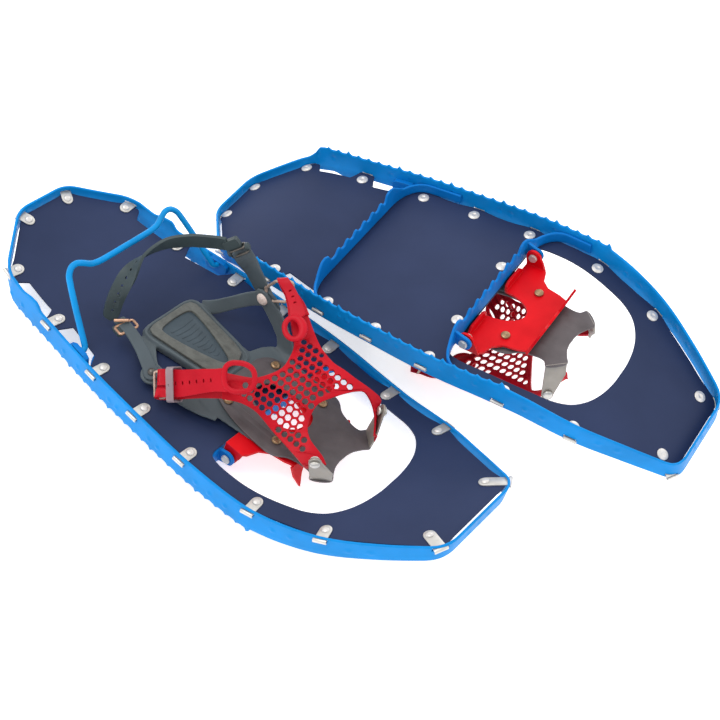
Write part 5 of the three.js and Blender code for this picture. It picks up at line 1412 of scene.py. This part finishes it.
def add_heel_strap(tag):
    def holes(length, knots):
        return [ellipse(knots[4] + k * 8.5, 0, 1.5, 1.1, 12)
                for k in range(1, int((length - knots[4]) / 8.5))]

    shape = band(heel_folded(tag, HEEL_PATH), units(HEEL_ACROSS), HEEL_WIDTHS, 2.9, holes,
                 end_round=5, step=2.0)[0]
    add_piece(tag, "heel_strap_band", shape, "strap_grey", "heel_strap", "heel_strap", angle=45,
              bevel=(0.6, 50))


def add_links(tag):
    path = [LINK_L_START + vec(1, 0.2, -1.0), (223, 58.8, 54.0)] + heel_folded(tag, LINK_L_TOP)
    shapes = [band(path, units(LINK_L_ACROSS), [20, 20.5, 20, 18, 16], 2.6)[0],
              disc(LINK_L_START + vec(5.5, 0, -3.2), HUB_L_AXIS, 13.8, 1.3, 34)]
    add_fused(tag, "link_left_moulding", shapes, "link_grey", "heel_strap", voxel=0.7,
              smooth=4, replaces="heel_link_left")
    shapes = [band(LINK_R_PATH, units(LINK_R_ACROSS), [13.5, 12.5, 11.5, 11, 11, 11], 2.6)[0],
              disc(LINK_R_START, HUB_R_AXIS, 8.0, 1.3, 30)]
    add_fused(tag, "link_right_moulding", shapes, "link_grey", "right_link", voxel=0.7,
              smooth=4, replaces="heel_link_right")


def add_right_buckle(tag):
    start, end = LINK_R_PATH[3:5]
    along = unit(end - start)
    across = square_to(vec(0.15, 0.95, 0.1), along)
    up = np.cross(along, across)
    centre = start + (end - start) * 0.72
    prong = [centre - along * 5.0 + up * 1.6, centre - along * 1.0 + up * 2.4,
             centre + along * 3.0 + up * 2.0, centre + along * 6.4 + up * 1.0]
    roller = [vec(154.3, -49.1, 25.0) + VIEW_RIGHT * k for k in np.linspace(-6.6, 6.6, 9)]
    ring = rounded_rect(centre, across, along, 18.5, 11.0, 2.4)
    shape = joined([tube(ring, 1.35, 12, closed=True), tube(prong, [1.2, 1.1, 1.0, 0.7], 10),
                    tube(roller, 1.5, 12)])
    add_piece(tag, "buckle_right_brass", shape, "brass", "right_link", "heel_buckle_right",
              angle=60)
    add_piece(tag, "buckle_right_block",
              block(vec(159, -52.4, 19.6), across, along, 14.5, 12.0, 3.6), "strap_grey",
              "right_link", bevel=(0.6, 45))


def add_left_buckle(tag):
    start, end, pad = np.array(heel_folded(tag, LINK_L_TOP[1:] + [(189.6, 47.2, 91.0)]))
    along = unit(end - start)
    across = square_to(vec(0.5, 0.35, 0.65), along)
    up = np.cross(along, across)
    centre = start + (end - start) * 0.45
    rings = [tube(rounded_rect(centre, across, up, 17.4, 7.4, 2.4), 1.15, 12, closed=True),
             tube(rounded_rect(centre + along * 6.0, across, up, 16.0, 7.0, 2.4), 1.0, 12,
                  closed=True)]
    add_piece(tag, "buckle_left_steel", joined(rings), "rivet_dark", "heel_strap",
              "heel_buckle_left", angle=60)
    pads = [disc(centre + along * 3.6 + across * side * 9.4, across, 4.0, 1.4, 22)
            for side in (-1, 1)]
    pads.append(block(pad, across, along, 15.5, 11.0, 5.0))
    add_piece(tag, "buckle_left_pads", joined(pads), "strap_grey", "heel_strap", angle=50)


# Pieces kept from the loaded frame and only painted
KEPT_PIECES = [("bail_bracket_left", "bar_blue"), ("bail_bracket_right", "bar_blue"),
               ("crampon", "crampon_red"), ("hinge_pin_left", "silver"),
               ("hinge_pin_right", "silver")]


def paint_kept_pieces(tag):
    for name, mat in KEPT_PIECES:
        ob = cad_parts[f"{tag}_{name}"]
        ob.data.materials.clear()
        ob.data.materials.append(MATERIALS[mat])


for shoe_tag in SHOES:
    for add_part in (add_rail, add_crossbars, add_deck, add_clips, add_bail, add_toe_plate,
                     add_binding_rivets, add_base, add_heel_pad, add_cradle, add_right_strap,
                     add_left_strap, add_strap_loops, add_keeper, add_heel_strap, add_links,
                     add_right_buckle, add_left_buckle, paint_kept_pieces):
        add_part(shoe_tag)

# ---------------------------------------------------------------- floor, light, camera (metres)
scene = bpy.context.scene
lo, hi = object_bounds()
centre = (Vector(lo) + Vector(hi)) / 2


def add_floor(half, z):
    mesh = bpy.data.meshes.new("floor")
    corners = [(-half, -half, z), (half, -half, z), (half, half, z), (-half, half, z)]
    mesh.from_pydata(corners, [], [(0, 1, 2, 3)])
    ob = bpy.data.objects.new("floor", mesh)
    scene.collection.objects.link(ob)
    mesh.materials.append(MATERIALS["floor_white"])


def add_world():
    world = bpy.data.worlds.new("w")
    scene.world = world
    world.use_nodes = True
    background = world.node_tree.nodes["Background"]
    background.inputs["Color"].default_value = (1, 1, 1, 1)
    background.inputs["Strength"].default_value = 1.0


def add_area_light(name, offset, size, watts):
    """rectangular light, placed from the shoes' centre and aimed at it"""
    light = bpy.data.lights.new(name, "AREA")
    light.shape = "RECTANGLE"
    light.size, light.size_y = size
    light.energy = watts
    ob = bpy.data.objects.new(name, light)
    scene.collection.objects.link(ob)
    ob.location = centre + Vector(offset)
    ob.rotation_euler = (centre - ob.location).to_track_quat("-Z", "Y").to_euler()


def add_camera(place):
    """place: millimetres in shoe a's frame"""
    camera = bpy.data.cameras.new("cam")
    camera.lens = 64.68
    camera.sensor_width = 36
    camera.clip_start = 0.05
    camera.clip_end = 50
    ob = bpy.data.objects.new("cam", camera)
    scene.collection.objects.link(ob)
    location = (place + SHOES["a"]["place"]) / 1000
    columns = np.column_stack([VIEW_RIGHT, -VIEW_DOWN, VIEW_BACK, location])
    ob.matrix_world = Matrix(columns.tolist() + [[0, 0, 0, 1]])
    scene.camera = ob


add_floor(half=6, z=-0.0004)
add_world()
add_area_light("key", offset=(-0.9, -0.5, 1.7), size=(1.4, 1.0), watts=15)
add_area_light("fill", offset=(1.5, 0.6, 1.3), size=(1.4, 1.4), watts=6)
add_area_light("rim", offset=(-0.4, 1.7, 0.9), size=(1.6, 0.5), watts=7)
add_camera(vec(693.0, -635.2, 913.8))
scene.view_settings.view_transform = "Standard"
